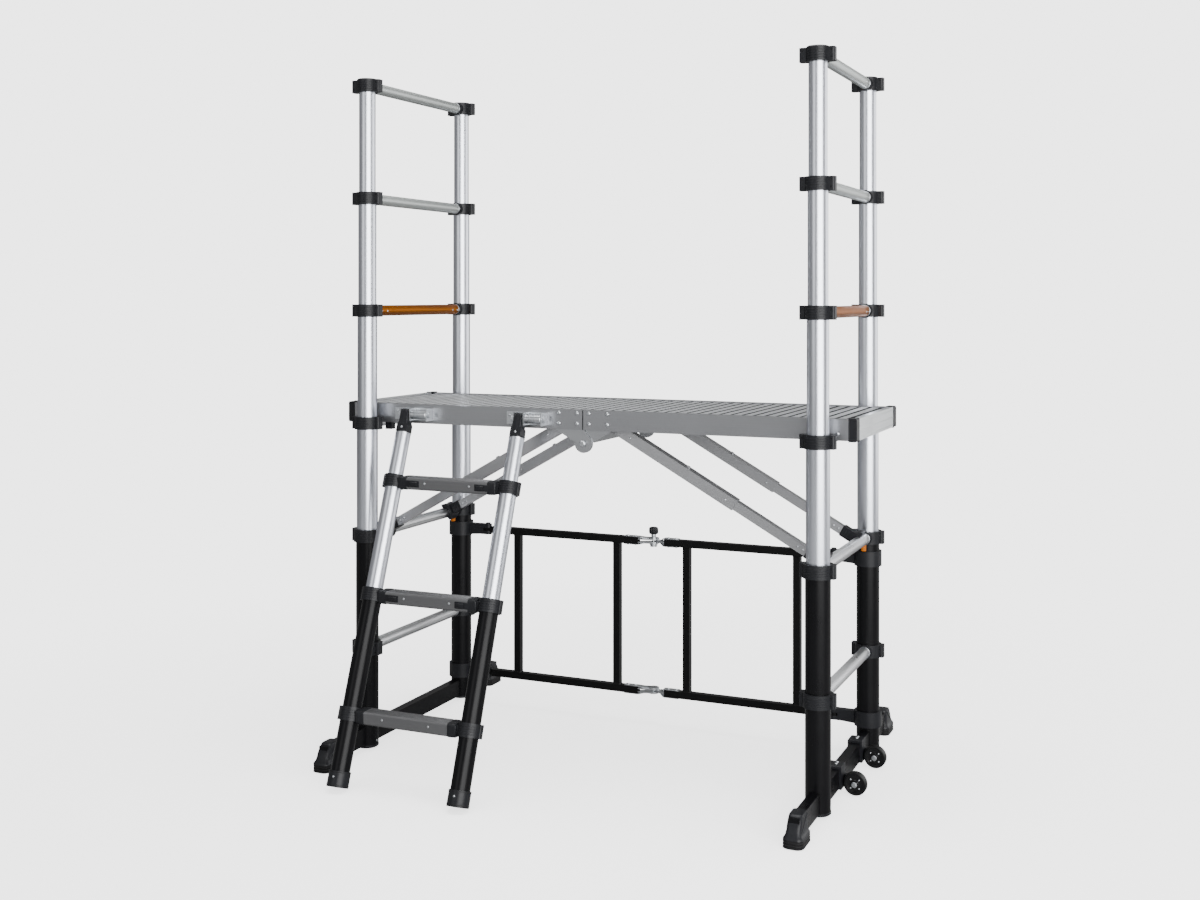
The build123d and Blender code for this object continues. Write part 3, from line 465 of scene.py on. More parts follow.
# ---------------------------------------------------------------- mesh making
class Former:
    """Gathers closed mesh parts, drawn in millimetres, into one piece."""

    def __init__(self, place: Matrix | None = None) -> None:
        """Starts an empty piece.

        Args:
            place: matrix from the drawing to the row frame, in millimetres.
        """
        self.mesh = bmesh.new()
        self.place = place or Matrix.Identity(4)
        self.index = 0

    def at(self, place: Matrix) -> "Former":
        """Sets where the next parts go and returns the former."""
        self.place = place
        return self

    def use(self, index: int) -> "Former":
        """Sets the finish, by its number, of the next parts and returns the former."""
        self.index = index
        return self

    def loft(self, rings: Sequence[Sequence[Point]], closed: bool = False) -> None:
        """Skins a row of rings that have the same number of points.

        Args:
            rings: the rings, in order.
            closed: joins the last ring to the first, with no end caps.
        """
        rows = [[self.mesh.verts.new(self.place @ Vector(p) * MM) for p in ring] for ring in rings]
        pairs = list(zip(rows, rows[1:] + rows[:1])) if closed else list(zip(rows, rows[1:]))
        count = len(rows[0])
        faces = []
        for low, high in pairs:
            for i in range(count):
                j = (i + 1) % count
                faces.append(self.mesh.faces.new((low[i], low[j], high[j], high[i])))
        if not closed:
            faces.append(self.mesh.faces.new(list(reversed(rows[0]))))
            faces.append(self.mesh.faces.new(rows[-1]))
        for face in faces:
            face.material_index = self.index

    def lathe(self, profile: Sequence[tuple[float, float]], centre: Point, axis: Point,
              segments: int = 28, flutes: int = 0, depth: float = 0.0, closed: bool = False) -> None:
        """Turns a profile of (radius, distance along the axis) about an axis.

        Args:
            profile: the profile's points.
            centre: where distance is zero.
            axis: direction of the axis.
            segments: points round the axis.
            flutes: how many grip flutes the outside has.
            depth: depth of a flute.
            closed: the profile is a ring of its own.
        """
        along = Vector(axis).normalized()
        side = along.orthogonal().normalized()
        other = along.cross(side)
        middle = Vector(centre)
        rings = []
        widest = max(r for r, _ in profile)
        for radius, distance in profile:
            ring = []
            for k in range(segments):
                angle = math.tau * k / segments
                cut = depth * (0.5 - 0.5 * math.cos(flutes * angle)) if flutes and radius > widest - 1.6 else 0.0
                spoke = side * math.cos(angle) + other * math.sin(angle)
                ring.append(tuple(middle + along * distance + spoke * (radius - cut)))
            rings.append(ring)
        self.loft(rings, closed)

    def block(self, low: Point, high: Point, edge: float = 0.6) -> None:
        """A block with softened edges.

        Args:
            low: lowest corner.
            high: highest corner.
            edge: width of the softened edge.
        """
        size = [b - a for a, b in zip(low, high)]
        edge = min([edge] + [0.45 * s for s in size])
        cx, cy = (low[0] + high[0]) / 2, (low[1] + high[1]) / 2
        hx, hy = size[0] / 2, size[1] / 2
        rings = []
        for z, inset in ((low[2], edge), (low[2] + edge, 0.0), (high[2] - edge, 0.0), (high[2], edge)):
            rings.append(corner_ring(cx, cy, z, hx - inset, hy - inset, edge, 2))
        self.loft(rings)

    def dome(self, centre: Point, axis: Point, radius: float, height: float, segments: int = 20) -> None:
        """A round rivet or bolt head that stands on a face, with a small skirt.

        Args:
            centre: point on the face.
            axis: outward direction.
            radius: radius of the head.
            height: how far it stands out.
            segments: points round it.
        """
        steps = 5
        profile = [(radius, -0.4), (radius, height * 0.15)]
        for k in range(1, steps):
            angle = math.pi / 2 * k / steps
            profile.append((radius * math.cos(angle), height * (0.15 + 0.85 * math.sin(angle))))
        profile.append((radius * 0.12, height))
        self.lathe(profile, centre, axis, segments)

    def hexagon(self, centre: Point, axis: Point, radius: float, height: float) -> None:
        """A hexagon head with a washer face and a softened crown.

        Args:
            centre: point on the face it sits on.
            axis: outward direction.
            radius: radius over the corners.
            height: height of the head.
        """
        self.lathe([(radius * 1.15, -0.3), (radius * 1.15, 0.9), (radius * 1.05, 1.1)], centre, axis, 28)
        top = [(radius, 0.9), (radius, height - 0.8), (radius * 0.86, height)]
        self.lathe(top, centre, axis, 6)

    def socket_screw(self, centre: Point, axis: Point, radius: float, reach: float) -> None:
        """A socket-head screw seen at both ends of its hole.

        Args:
            centre: middle of the hole.
            axis: direction of the hole.
            radius: radius of the head.
            reach: distance from the middle to each end face.
        """
        hollow = radius * 0.5
        sink = reach - 1.6
        profile = [(hollow, -sink), (hollow, -reach), (radius, -reach),
                   (radius, reach), (hollow, reach), (hollow, sink)]
        self.lathe(profile, centre, axis, 16)

    def piece(self, name: str, body: str, finishes: Sequence[Finish], shop: FinishShop, slot: str,
              replaces: Sequence[str] = ()) -> bpy.types.Object:
        """Turns what was gathered into one object that rides on a body.

        Args:
            name: the piece's name.
            body: body that carries it.
            finishes: its finishes, by number.
            shop: where the materials come from.
            slot: the record's material slot; not used.
            replaces: CAD nodes that it stands for.

        Returns:
            The new object.
        """
        bmesh.ops.recalc_face_normals(self.mesh, faces=self.mesh.faces)
        soften(self.mesh)
        data = bpy.data.meshes.new(name)
        self.mesh.to_mesh(data)
        self.mesh.free()
        return settle(name, data, body, [shop.material(f) for f in finishes], replaces)


def soften(mesh: bmesh.types.BMesh) -> None:
    """Smooth shading, with edges kept sharp where two faces turn."""
    for face in mesh.faces:
        face.smooth = True
    for edge in mesh.edges:
        edge.smooth = len(edge.link_faces) == 2 and edge.calc_face_angle(0.0) < SHARP_ANGLE


def settle(name: str, data: bpy.types.Mesh, body: str, materials: Iterable[bpy.types.Material],
           replaces: Sequence[str] = ()) -> bpy.types.Object:
    """Links a mesh as a piece, dresses it and puts it on its body.

    Args:
        name: the piece's name.
        data: its mesh.
        body: body that carries it.
        materials: its materials, in order.
        replaces: CAD nodes that it stands for.

    Returns:
        The new object.
    """
    piece = bpy.data.objects.new(name, data)
    bpy.context.scene.collection.objects.link(piece)
    for material in materials:
        data.materials.append(material)
    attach(piece, body)
    if replaces:
        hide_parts(*replaces)
    LOG.info("piece %s on %s", name, body)
    return piece


def corner_ring(cx: float, cy: float, z: float, hx: float, hy: float, radius: float, steps: int = 4) -> list[Point]:
    """A rectangle with rounded corners, level at a height.

    Args:
        cx: centre along X.
        cy: centre along Y.
        z: height.
        hx: half width along X.
        hy: half width along Y.
        radius: corner radius.
        steps: pieces in a corner.

    Returns:
        The ring's points.
    """
    radius = max(0.01, min(radius, hx * 0.98, hy * 0.98))
    ring = []
    for sx, sy, start in ((1, 1, 0), (-1, 1, 90), (-1, -1, 180), (1, -1, 270)):
        for k in range(steps + 1):
            angle = math.radians(start + 90 * k / steps)
            x = cx + sx * (hx - radius) + radius * math.cos(angle)
            y = cy + sy * (hy - radius) + radius * math.sin(angle)
            ring.append((x, y, z))
    return ring


def band(former: Former, centre: Point, radius: float, proud: float, half_height: float, middle: float,
         spread: float, steps: int = 14) -> None:
    """A raised rib part of the way round an upright cylinder.

    Args:
        former: where the rib goes.
        centre: point on the cylinder's axis.
        radius: the cylinder's radius.
        proud: how far the rib stands out.
        half_height: half of the rib's height.
        middle: direction of the rib's middle, in degrees.
        spread: half of the angle that it covers, in degrees.
        steps: pieces along it.
    """
    rings = []
    for k in range(steps + 1):
        share = k / steps
        angle = math.radians(middle - spread + 2 * spread * share)
        rise = proud * min(1.0, 6 * min(share, 1 - share) + 0.15)
        inner, outer = radius - 0.6, radius + rise
        crown = half_height * 0.45
        profile = [(inner, -half_height), (outer, -crown), (outer, crown), (inner, half_height)]
        rings.append([(centre[0] + r * math.cos(angle), centre[1] + r * math.sin(angle), centre[2] + z)
                      for r, z in profile])
    former.loft(rings)


def dress(node: str, finish: Finish, shop: FinishShop) -> None:
    """Gives a CAD node its procedural material.

    Args:
        node: the node's name.
        finish: its finish.
        shop: where the material comes from.
    """
    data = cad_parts[node].data
    data.materials.clear()
    data.materials.append(shop.material(finish))


def zoned(node: str, body: str, name: str, finishes: Sequence[Finish], rule: Callable[[Vector], int],
          shop: FinishShop) -> bpy.types.Object:
    """A piece with the CAD node's shape and a finish for each of its solids, which stands for the node.

    Args:
        node: the CAD node.
        body: body that carries it.
        name: the piece's name.
        finishes: finishes, by number.
        rule: from the middle of a solid, in millimetres, to a finish's number.
        shop: where the materials come from.

    Returns:
        The piece.
    """
    shape = bmesh.new()
    shape.from_mesh(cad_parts[node].data)
    bmesh.ops.remove_doubles(shape, verts=shape.verts, dist=1e-6)
    soften(shape)
    unseen = set(shape.faces)
    while unseen:
        island = grow_island(unseen.pop(), unseen)
        corners = [v.co for face in island for v in face.verts]
        low = Vector(min(c[i] for c in corners) for i in range(3))
        high = Vector(max(c[i] for c in corners) for i in range(3))
        number = rule((low + high) / 2 / MM)
        for face in island:
            face.material_index = number
    data = bpy.data.meshes.new(name)
    shape.to_mesh(data)
    shape.free()
    return settle(name, data, body, [shop.material(f) for f in finishes], [node])


def faced(node: str, body: str, name: str, finishes: Sequence[Finish], rule: Callable[[Vector], int],
          shop: FinishShop) -> bpy.types.Object:
    """A piece with the CAD node's shape and a finish for each of its faces, which stands for the node.

    Args:
        node: the CAD node.
        body: body that carries it.
        name: the piece's name.
        finishes: finishes, by number.
        rule: from the middle of a face, in millimetres, to a finish's number.
        shop: where the materials come from.

    Returns:
        The piece.
    """
    shape = bmesh.new()
    shape.from_mesh(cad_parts[node].data)
    bmesh.ops.remove_doubles(shape, verts=shape.verts, dist=1e-6)
    soften(shape)
    for face in shape.faces:
        face.material_index = rule(face.calc_center_median() / MM)
    data = bpy.data.meshes.new(name)
    shape.to_mesh(data)
    shape.free()
    return settle(name, data, body, [shop.material(f) for f in finishes], [node])


def grow_island(seed: bmesh.types.BMFace, unseen: set[bmesh.types.BMFace]) -> list[bmesh.types.BMFace]:
    """The faces joined to a first one, taken out of the unseen ones.

    Args:
        seed: the first face.
        unseen: faces not yet in an island.

    Returns:
        The island's faces.
    """
    island, queue = [seed], [seed]
    while queue:
        for edge in queue.pop().edges:
            for face in edge.link_faces:
                if face in unseen:
                    unseen.discard(face)
                    island.append(face)
                    queue.append(face)
    return island


# ---------------------------------------------------------------- layout
@dataclass(frozen=True)
class Layout:
    """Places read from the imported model, in millimetres of the row frame."""

    tower_x: float
    mid_y: float
    first_rung: float
    pitch: float
    stile_offset: float = 256.0
    rung_radius: float = 15.0
    rung_flat: float = 13.5

    @classmethod
    def read(cls) -> "Layout":
        """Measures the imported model."""
        bar_low, bar_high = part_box("right_base_bar")
        fourth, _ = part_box("right_rung_4")
        fifth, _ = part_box("right_rung_5")
        lowest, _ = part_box("right_fixed_rungs")
        return cls(
            tower_x=(bar_low.x + bar_high.x) / 2 / MM,
            mid_y=(bar_low.y + bar_high.y) / 2 / MM,
            first_rung=lowest.z / MM + cls.rung_radius,
            pitch=(fifth.z - fourth.z) / MM,
        )

    def level(self, number: int) -> float:
        """Height of a rung's axis, counted from the lowest."""
        return self.first_rung + (number - 1) * self.pitch


@dataclass
class Tower:
    """One telescopic ladder tower on its base bar."""

    side: Side
    layout: Layout
    shop: FinishShop
    collar_wall: float = 5.9
    ear_reach: float = 43.0
    pin_distance: float = 60.0
    ear_depth: float = 24.0
    screw_inset: float = 8.5
    screw_radius: float = 2.45
    rib_rows: tuple[float, ...] = (-9.0, -3.0, 3.0, 9.0)
    rung_ridges: int = 15
    rivet_insets: tuple[float, ...] = (7.0, 34.0)
    tube_radius: tuple[float, ...] = (30.0, 30.0, 28.0, 26.0, 24.0, 22.0)
    boot_middle: float = 438.0
    sole_profile: tuple[Point, ...] = (
        (0.0, 22.4, 38.2), (1.2, 24.0, 40.0), (4.2, 24.0, 40.0), (5.2, 22.2, 38.0), (6.8, 22.2, 38.0),
        (7.8, 24.0, 40.0), (10.4, 24.0, 40.0), (11.4, 22.2, 38.0), (13.0, 22.2, 38.0), (14.0, 23.8, 39.8),
        (17.0, 23.8, 39.8), (18.0, 22.4, 38.6), (20.0, 22.4, 38.6),
    )
    upper_profile: tuple[tuple[float, float, float, float], ...] = (
        (19.5, 23.4, 478.0, 398.4), (22.5, 23.0, 477.4, 399.0), (26.0, 20.4, 475.0, 401.0),
        (31.0, 18.0, 471.6, 402.6), (38.0, 17.3, 468.2, 403.4), (47.0, 17.1, 464.4, 403.8),
        (57.0, 16.9, 456.8, 404.0), (64.0, 16.5, 451.0, 404.4), (67.2, 15.4, 447.4, 405.6),
        (68.4, 13.0, 443.0, 409.0),
    )

    @property
    def x(self) -> float:
        """The tower's plane."""
        return self.side.value * self.layout.tower_x

    def build(self) -> None:
        """Dresses the tower's nodes and adds its small pieces."""
        word = self.side.word
        for node in ("fixed_stiles", "stiles_4", "stiles_5", "stiles_6"):
            dress(f"{word}_{node}", SILVER, self.shop)
        dress(f"{word}_outer_stiles", BLACK_TUBE, self.shop)
        dress(f"{word}_base_bar", BLACK_BAR, self.shop)
        dress(f"{word}_fixed_rungs", BRIGHT_RUNG, self.shop)
        dress(f"{word}_rung_4", ORANGE_RUNG, self.shop)
        dress(f"{word}_rung_5", GREY_RUNG, self.shop)
        dress(f"{word}_rung_6", GREY_RUNG, self.shop)
        for number in (4, 5, 6):
            dress(f"{word}_collars_{number}", NYLON, self.shop)
        self.brace_clamps()
        self.collar_ribs()
        self.collar_screws()
        self.rung_grip()
        self.boots()
        self.foot_plugs()
        self.release_button()

    def body(self, number: int) -> str:
        """The body that carries a level."""
        return f"{self.side.word}_tower" if number < 4 else f"{self.side.word}_section_{number}"

    def groups(self) -> dict[str, list[int]]:
        """The levels that each body carries."""
        found: dict[str, list[int]] = {}
        for number in range(1, 7):
            found.setdefault(self.body(number), []).append(number)
        return found

    def stiles(self) -> list[tuple[float, int]]:
        """Y of each stile, with the sign of its outer side."""
        offset = self.layout.stile_offset
        return [(self.layout.mid_y - offset, -1), (self.layout.mid_y + offset, 1)]

    def brace_clamps(self) -> None:
        """The fixed collars with their hinge pins in dark steel."""
        word = self.side.word

        def pin(middle: Vector) -> int:
            """Number 1 for a hinge pin, which is far from the stile."""
            return 1 if abs(abs(middle.x) - self.layout.tower_x) > self.pin_distance else 0

        zoned(f"{word}_fixed_collars", f"{word}_tower", f"{word}_fixed_collars_dressed", [NYLON, STEEL_SCREW], pin,
              self.shop)

    def collar_ribs(self) -> None:
        """Fine level ribs on the outer face of every collar."""
        for body, levels in self.groups().items():
            former = Former()
            for number in levels:
                radius = self.tube_radius[number - 1] + self.collar_wall
                for y, outward in self.stiles():
                    for row in self.rib_rows:
                        centre = (self.x, y, self.layout.level(number) + row)
                        band(former, centre, radius, 0.8, 1.5, 90.0 * outward, 62.0)
            former.piece(f"{body}_collar_ribs", body, [NYLON], self.shop, "black_plastic")

    def collar_screws(self) -> None:
        """Socket screws through the ears of every collar."""
        for body, levels in self.groups().items():
            former = Former()
            for number in levels:
                for y, _ in self.stiles():
                    self.ear_screws(former, y, self.layout.level(number))
            former.piece(f"{body}_collar_screws", body, [STEEL_SCREW], self.shop, "black_steel")

    def ear_screws(self, former: Former, y: float, z: float) -> None:
        """The four screws of one collar.

        Args:
            former: where they go.
            y: the stile's place.
            z: the collar's middle.
        """
        reach = self.ear_depth / 2 - 1.2
        for dx in (-1, 1):
            for dz in (-1, 1):
                x = self.x + dx * (self.ear_reach - self.screw_inset)
                former.socket_screw((x, y, z + dz * self.screw_inset), (0, 1, 0), self.screw_radius, reach)

    def rung_grip(self) -> None:
        """Lengthwise ridges on the upper half of each rung, and the rivets at its ends."""
        finish = {4: ORANGE_RUNG, 5: GREY_RUNG, 6: GREY_RUNG}
        slots = {4: "orange_aluminium"}
        for body, levels in self.groups().items():
            former = Former()
            for number in levels:
                if number != 3:
                    self.ridges(former, number)
                    self.rung_rivets(former, number)
            last = levels[-1]
            finishes = [finish.get(last, BRIGHT_RUNG), ZINC]
            former.piece(f"{body}_rung_grip", body, finishes, self.shop, slots.get(last, "mill_aluminium"))

    def ridges(self, former: Former, number: int) -> None:
        """Ridges of one rung."""
        z = self.layout.level(number)
        radius = self.layout.rung_radius
        half = self.layout.stile_offset - self.tube_radius[number - 1] - self.collar_wall - 14.0
        y0, y1 = self.layout.mid_y - half, self.layout.mid_y + half
        former.use(0)
        for k in range(self.rung_ridges):
            angle = math.radians(12 + 156 * k / (self.rung_ridges - 1))
            x, up = radius * math.cos(angle), min(radius * math.sin(angle), self.layout.rung_flat)
            former.block((self.x + x - 0.55, y0, z + up - 0.5), (self.x + x + 0.55, y1, z + up + 0.45), 0.3)

    def rung_rivets(self, former: Former, number: int) -> None:
        """Rivets on both faces of one rung, two near each end."""
        z = self.layout.level(number)
        half = self.layout.stile_offset - self.tube_radius[number - 1] - self.collar_wall - 12.0
        former.use(1)
        for sign in (-1, 1):
            for inset in self.rivet_insets:
                y = self.layout.mid_y + sign * (half - inset)
                for dx in (-1, 1):
                    former.dome((self.x + dx * 14.7, y, z - 2.0), (dx, 0, 0), 2.6, 1.3, 14)
            y = self.layout.mid_y + sign * (half + 4.0)
            ring = [(14.8, -3.0), (15.5, -2.6), (15.5, 2.6), (14.8, 3.0)]
            former.lathe(ring, (self.x, y, z), (0, 1, 0), 40, closed=True)

    def boots(self) -> None:
        """Moulded boots with a ribbed sole, in place of the plain ones."""
        former = Former()
        for sign in (-1, 1):
            self.boot(former, sign)
        word = self.side.word
        former.piece(f"{word}_boots", f"{word}_tower", [BOOT_RUBBER, NYLON], self.shop, "black_plastic",
                     [f"{word}_feet"])

    def boot(self, former: Former, sign: int) -> None:
        """One boot: a ribbed sole, a flare and an upper whose toe slopes back over the bar.

        Args:
            former: where it goes.
            sign: end of the bar, along Y.
        """
        middle = self.layout.mid_y + sign * self.boot_middle
        former.use(0).loft([corner_ring(self.x, middle, z, hx, hy, 15.0, 6) for z, hx, hy in self.sole_profile])
        rings = []
        for z, hx, toe, heel in self.upper_profile:
            centre = self.layout.mid_y + sign * (toe + heel) / 2
            rings.append(corner_ring(self.x, centre, z, hx, (toe - heel) / 2, min(hx * 0.55, 13.0), 6))
        former.use(1).loft(rings)
        for dx in (-1, 1):
            self.boot_rib(former, sign, dx)

    def boot_rib(self, former: Former, sign: int, dx: int) -> None:
        """Slanting rib on a side of a boot.

        Args:
            former: where it goes.
            sign: end of the bar, along Y.
            dx: side of the boot, along X.
        """
        rings = []
        for toe, z in ((462.0, 30.0), (440.0, 44.0), (414.0, 62.0)):
            y = self.layout.mid_y + sign * toe
            inner, outer = self.x + dx * 16.2, self.x + dx * 18.6
            rings.append([(inner, y, z - 2.6), (outer, y, z - 1.2), (outer, y, z + 1.2), (inner, y, z + 2.6)])
        former.use(1).loft(rings)

    def foot_plugs(self) -> None:
        """Moulded plugs round the lower ends of the outer stiles."""
        former = Former()
        for y, _ in self.stiles():
            ring = [(24.0, 7.0), (28.6, 7.0), (30.7, 8.8), (30.7, 13.6), (29.4, 14.6), (24.0, 14.6)]
            former.use(0).lathe(ring, (self.x, y, 0.0), (0, 0, 1), 56, closed=True)
            for dx in (-1, 1):
                former.use(1).dome((self.x + dx * 29.9, y, 24.0), (dx, 0, 0), 3.0, 1.4, 16)
        word = self.side.word
        former.piece(f"{word}_stile_plugs", f"{word}_tower", [NYLON, ZINC], self.shop, "black_plastic")

    def release_button(self) -> None:
        """The orange slide button with its finger grooves."""
        word = self.side.word
        low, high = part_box(f"{word}_release_button")
        cx, cy = (low.x + high.x) / 2 / MM, (low.y + high.y) / 2 / MM
        z0, z1 = low.z / MM, high.z / MM
        profile = [(5.2, z0), (6.6, z0 + 0.8), (7.0, z0 + 2.0)]
        z = z0 + 2.4
        while z < z1 - 3.0:
            profile += [(6.4, z), (6.4, z + 0.7), (7.0, z + 1.2), (7.0, z + 2.0)]
            z += 2.4
        profile += [(7.0, z1 - 0.4), (6.6, z1)]
        former = Former()
        former.lathe(profile, (cx, cy, 0.0), (0, 0, 1), 32)
        former.piece(f"{word}_release_slider", f"{word}_release", [ORANGE_PLASTIC], self.shop, "orange_plastic",
                     [f"{word}_release_button"])


@dataclass
class BaseWheels:
    """The two wheels and their brackets on the right base bar."""

    layout: Layout
    shop: FinishShop
    radius: float = 28.5
    width: float = 20.0
    bracket_top: float = 71.0

    def build(self) -> None:
        """Makes both wheels and the brackets' trim."""
        for name in ("front_wheel", "rear_wheel"):
            self.wheel(name)
        self.brackets()

    def wheel(self, name: str) -> None:
        """One wheel: rubber tyre, dished hub and four hub screws on each face.

        Args:
            name: the wheel's node and body.
        """
        low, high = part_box(name)
        centre = tuple((a + b) / 2 / MM for a, b in zip(low, high))
        half = self.width / 2
        rim = self.radius
        tyre = [(21.6, -half + 0.9), (25.4, -half + 0.5), (27.4, -half + 1.6), (rim, -half + 4.6),
                (rim, half - 4.6), (27.4, half - 1.6), (25.4, half - 0.5), (21.6, half - 0.9)]
        hub = [(4.3, -half), (8.6, -half), (9.4, -half + 0.6), (10.2, -half + 1.8), (18.5, -half + 2.0),
               (20.2, -half + 1.1), (21.8, -half + 0.9), (21.8, half - 0.9), (20.2, half - 1.1),
               (18.5, half - 2.0), (10.2, half - 1.8), (9.4, half - 0.6), (8.6, half), (4.3, half)]
        former = Former()
        former.use(0).lathe(tyre, centre, (0, 1, 0), 56, closed=True)
        former.use(1).lathe(hub, centre, (0, 1, 0), 56, closed=True)
        for k in range(4):
            angle = math.radians(45 + 90 * k)
            for face in (-1, 1):
                spot = (centre[0] + 14.4 * math.cos(angle), centre[1] + face * (half - 2.0),
                        centre[2] + 14.4 * math.sin(angle))
                former.use(2).dome(spot, (0, face, 0), 2.2, 1.3, 14)
        former.piece(f"{name}_dressed", name, [TYRE, HUB, ZINC], self.shop, "grey_rubber", [name])

    def brackets(self) -> None:
        """The brackets, with bright axle bolts and two pinch screws each."""
        bolt_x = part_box("front_wheel")

        def bolt(middle: Vector) -> int:
            """Number 1 for an axle bolt, which is centred on the wheel."""
            return 1 if middle.x > (bolt_x[0].x + bolt_x[1].x) / 2 / MM - 4.0 else 0

        zoned("wheel_brackets", "right_tower", "wheel_brackets_dressed", [NYLON, ZINC], bolt, self.shop)
        former = Former()
        for name in ("front_wheel", "rear_wheel"):
            low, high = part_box(name)
            cx, cy, cz = ((a + b) / 2 / MM for a, b in zip(low, high))
            head = cy - self.width / 2 - 4.3
            former.hexagon((cx, head, cz), (0, -1, 0), 6.0, 2.4)
            back = cy + self.width / 2 + 2.3
            for dy in (-12.0, 0.0):
                former.dome((self.layout.tower_x, back + dy, self.bracket_top), (0, 0, 1), 4.0, 2.4)
        former.piece("wheel_bracket_bolts", "right_tower", [ZINC], self.shop, "zinc_steel")


@dataclass
class PlatformHalf:
    """One half of the folding platform."""

    side: Side
    layout: Layout
    shop: FinishShop
    half_width: float = 220.0
    underside: float = 871.0
    height: float = 50.0
    slat_top: float = 918.5
    hinge_height: float = 837.0
    cap_length: float = 20.0
    beam_start: float = 681.0
    beam_reach: float = 200.0
    seam_reach: float = 6.0
    slat_edge: float = 0.6
    slat_pitch: float = 29.0
    slats: int = 23
    slat_ridges: tuple[float, ...] = (-7.6, -4.6, -1.6, 1.6, 4.6, 7.6)

    def build(self) -> None:
        """Dresses the half and adds its ridges and bolts."""
        word = self.side.word
        self.frame()
        dress(f"{word}_deck_caps", NYLON, self.shop)
        dress(f"{word}_deck_hinge", HINGE_PLATE, self.shop)
        self.ridges()
        self.rail_bolts()
        self.cap_trim()

    @property
    def body(self) -> str:
        """The body of this half."""
        return f"{self.side.word}_deck"

    def frame(self) -> None:
        """The rails and cross tubes, with a brighter end beam and the cut ends at the seam painted black as shade, and
        the slats with their sides painted dark as shade.
        """
        word = self.side.word

        def part(middle: Vector) -> int:
            """Number 1 on the end beam, 2 on the cut ends at the middle of the platform, painted black as the shade in
            the seam.
            """
            if abs(middle.x) > self.beam_start and abs(middle.y - self.layout.mid_y) < self.beam_reach:
                return 1
            return 2 if abs(middle.x) < self.seam_reach else 0

        faced(f"{word}_deck_frame", self.body, f"{word}_deck_frame_dressed", [RAIL, END_BEAM, POWDER_AND_SEAM_SHADE], part,
              self.shop)

        def treading(middle: Vector) -> int:
            """Number 0 on the tops of the slats, 1 on their sides, which are painted near-black as the shade in the
            gaps.
            """
            return 0 if middle.z > self.slat_top - self.slat_edge else 1

        faced(f"{word}_deck_slats", self.body, f"{word}_deck_slats_dressed", [SLAT, SHADED_SLAT_SIDE], treading, self.shop)

    def ridges(self) -> None:
        """Grip ridges along the top of every slat."""
        former = Former()
        reach = self.half_width - 4.5
        y0, y1 = self.layout.mid_y - reach, self.layout.mid_y + reach
        for n in range(self.slats):
            middle = self.side.value * (self.slat_pitch / 2 + n * self.slat_pitch)
            for offset in self.slat_ridges:
                x = middle + offset
                former.block((x - 0.7, y0, self.slat_top - 0.3), (x + 0.7, y1, self.slat_top + 0.8), 0.35)
        former.piece(f"{self.body}_slat_ridges", self.body, [SLAT], self.shop, "mill_aluminium")

    def rail_bolts(self) -> None:
        """Bolts of the hinge pads and the end bolts, through both rails."""
        former = Former()
        sign = self.side.value
        for face in (-1, 1):
            y = self.layout.mid_y + face * self.half_width
            for x in (16.5, 67.0):
                for z in (self.underside + 15.5, self.underside + 42.0):
                    former.dome((sign * x, y, z), (0, face, 0), 5.2, 3.2, 24)
            former.dome((sign * 655.0, y, self.underside + 16.0), (0, face, 0), 4.0, 2.4, 20)
            if sign > 0:
                former.hexagon((0.0, self.layout.mid_y + face * 220.6, self.hinge_height), (0, face, 0), 7.4, 5.2)
        former.piece(f"{self.body}_bolts", self.body, [ZINC], self.shop, "zinc_steel")

    def cap_trim(self) -> None:
        """Rims of the corner caps, the lips of the end beam, and black plates in the seam that stand in for its shade.
        """
        former = Former()
        sign = self.side.value
        low, high = self.underside - 3.2, self.underside + self.height + 3.2
        for face in (-1, 1):
            inner = self.layout.mid_y + face * (self.half_width - 28.0)
            x0, x1 = sorted((sign * (698.4 - self.cap_length), sign * 699.6))
            former.use(0).block((x0, inner - 1.6, low), (x1, inner + 1.6, high), 1.2)
            outer = self.layout.mid_y + face * self.half_width
            x0, x1 = sorted((sign * (700.0 - self.cap_length), sign * (702.6 - self.cap_length)))
            former.use(0).block((x0, outer - 1.0, low), (x1, outer + 1.0, high), 0.8)
        # Painted shade: black plates that close the seam between the halves, where there is only shade.
        for face in (-1, 1):
            x0, x1 = sorted((sign * 0.5, sign * 2.8))
            y0, y1 = sorted((self.layout.mid_y + face * 219.4, self.layout.mid_y + face * 196.0))
            former.use(0).block((x0, y0, self.underside + 1.0), (x1, y1, self.underside + 47.0), 0.5)
        for z in (self.underside + 5.0, self.underside + 24.0, self.underside + 43.0):
            x0, x1 = sorted((sign * 697.4, sign * 698.8))
            former.use(1).block((x0, self.layout.mid_y - 190.0, z), (x1, self.layout.mid_y + 190.0, z + 1.4), 0.4)
        former.piece(f"{self.body}_cap_trim", self.body, [NYLON, END_BEAM], self.shop, "black_plastic")


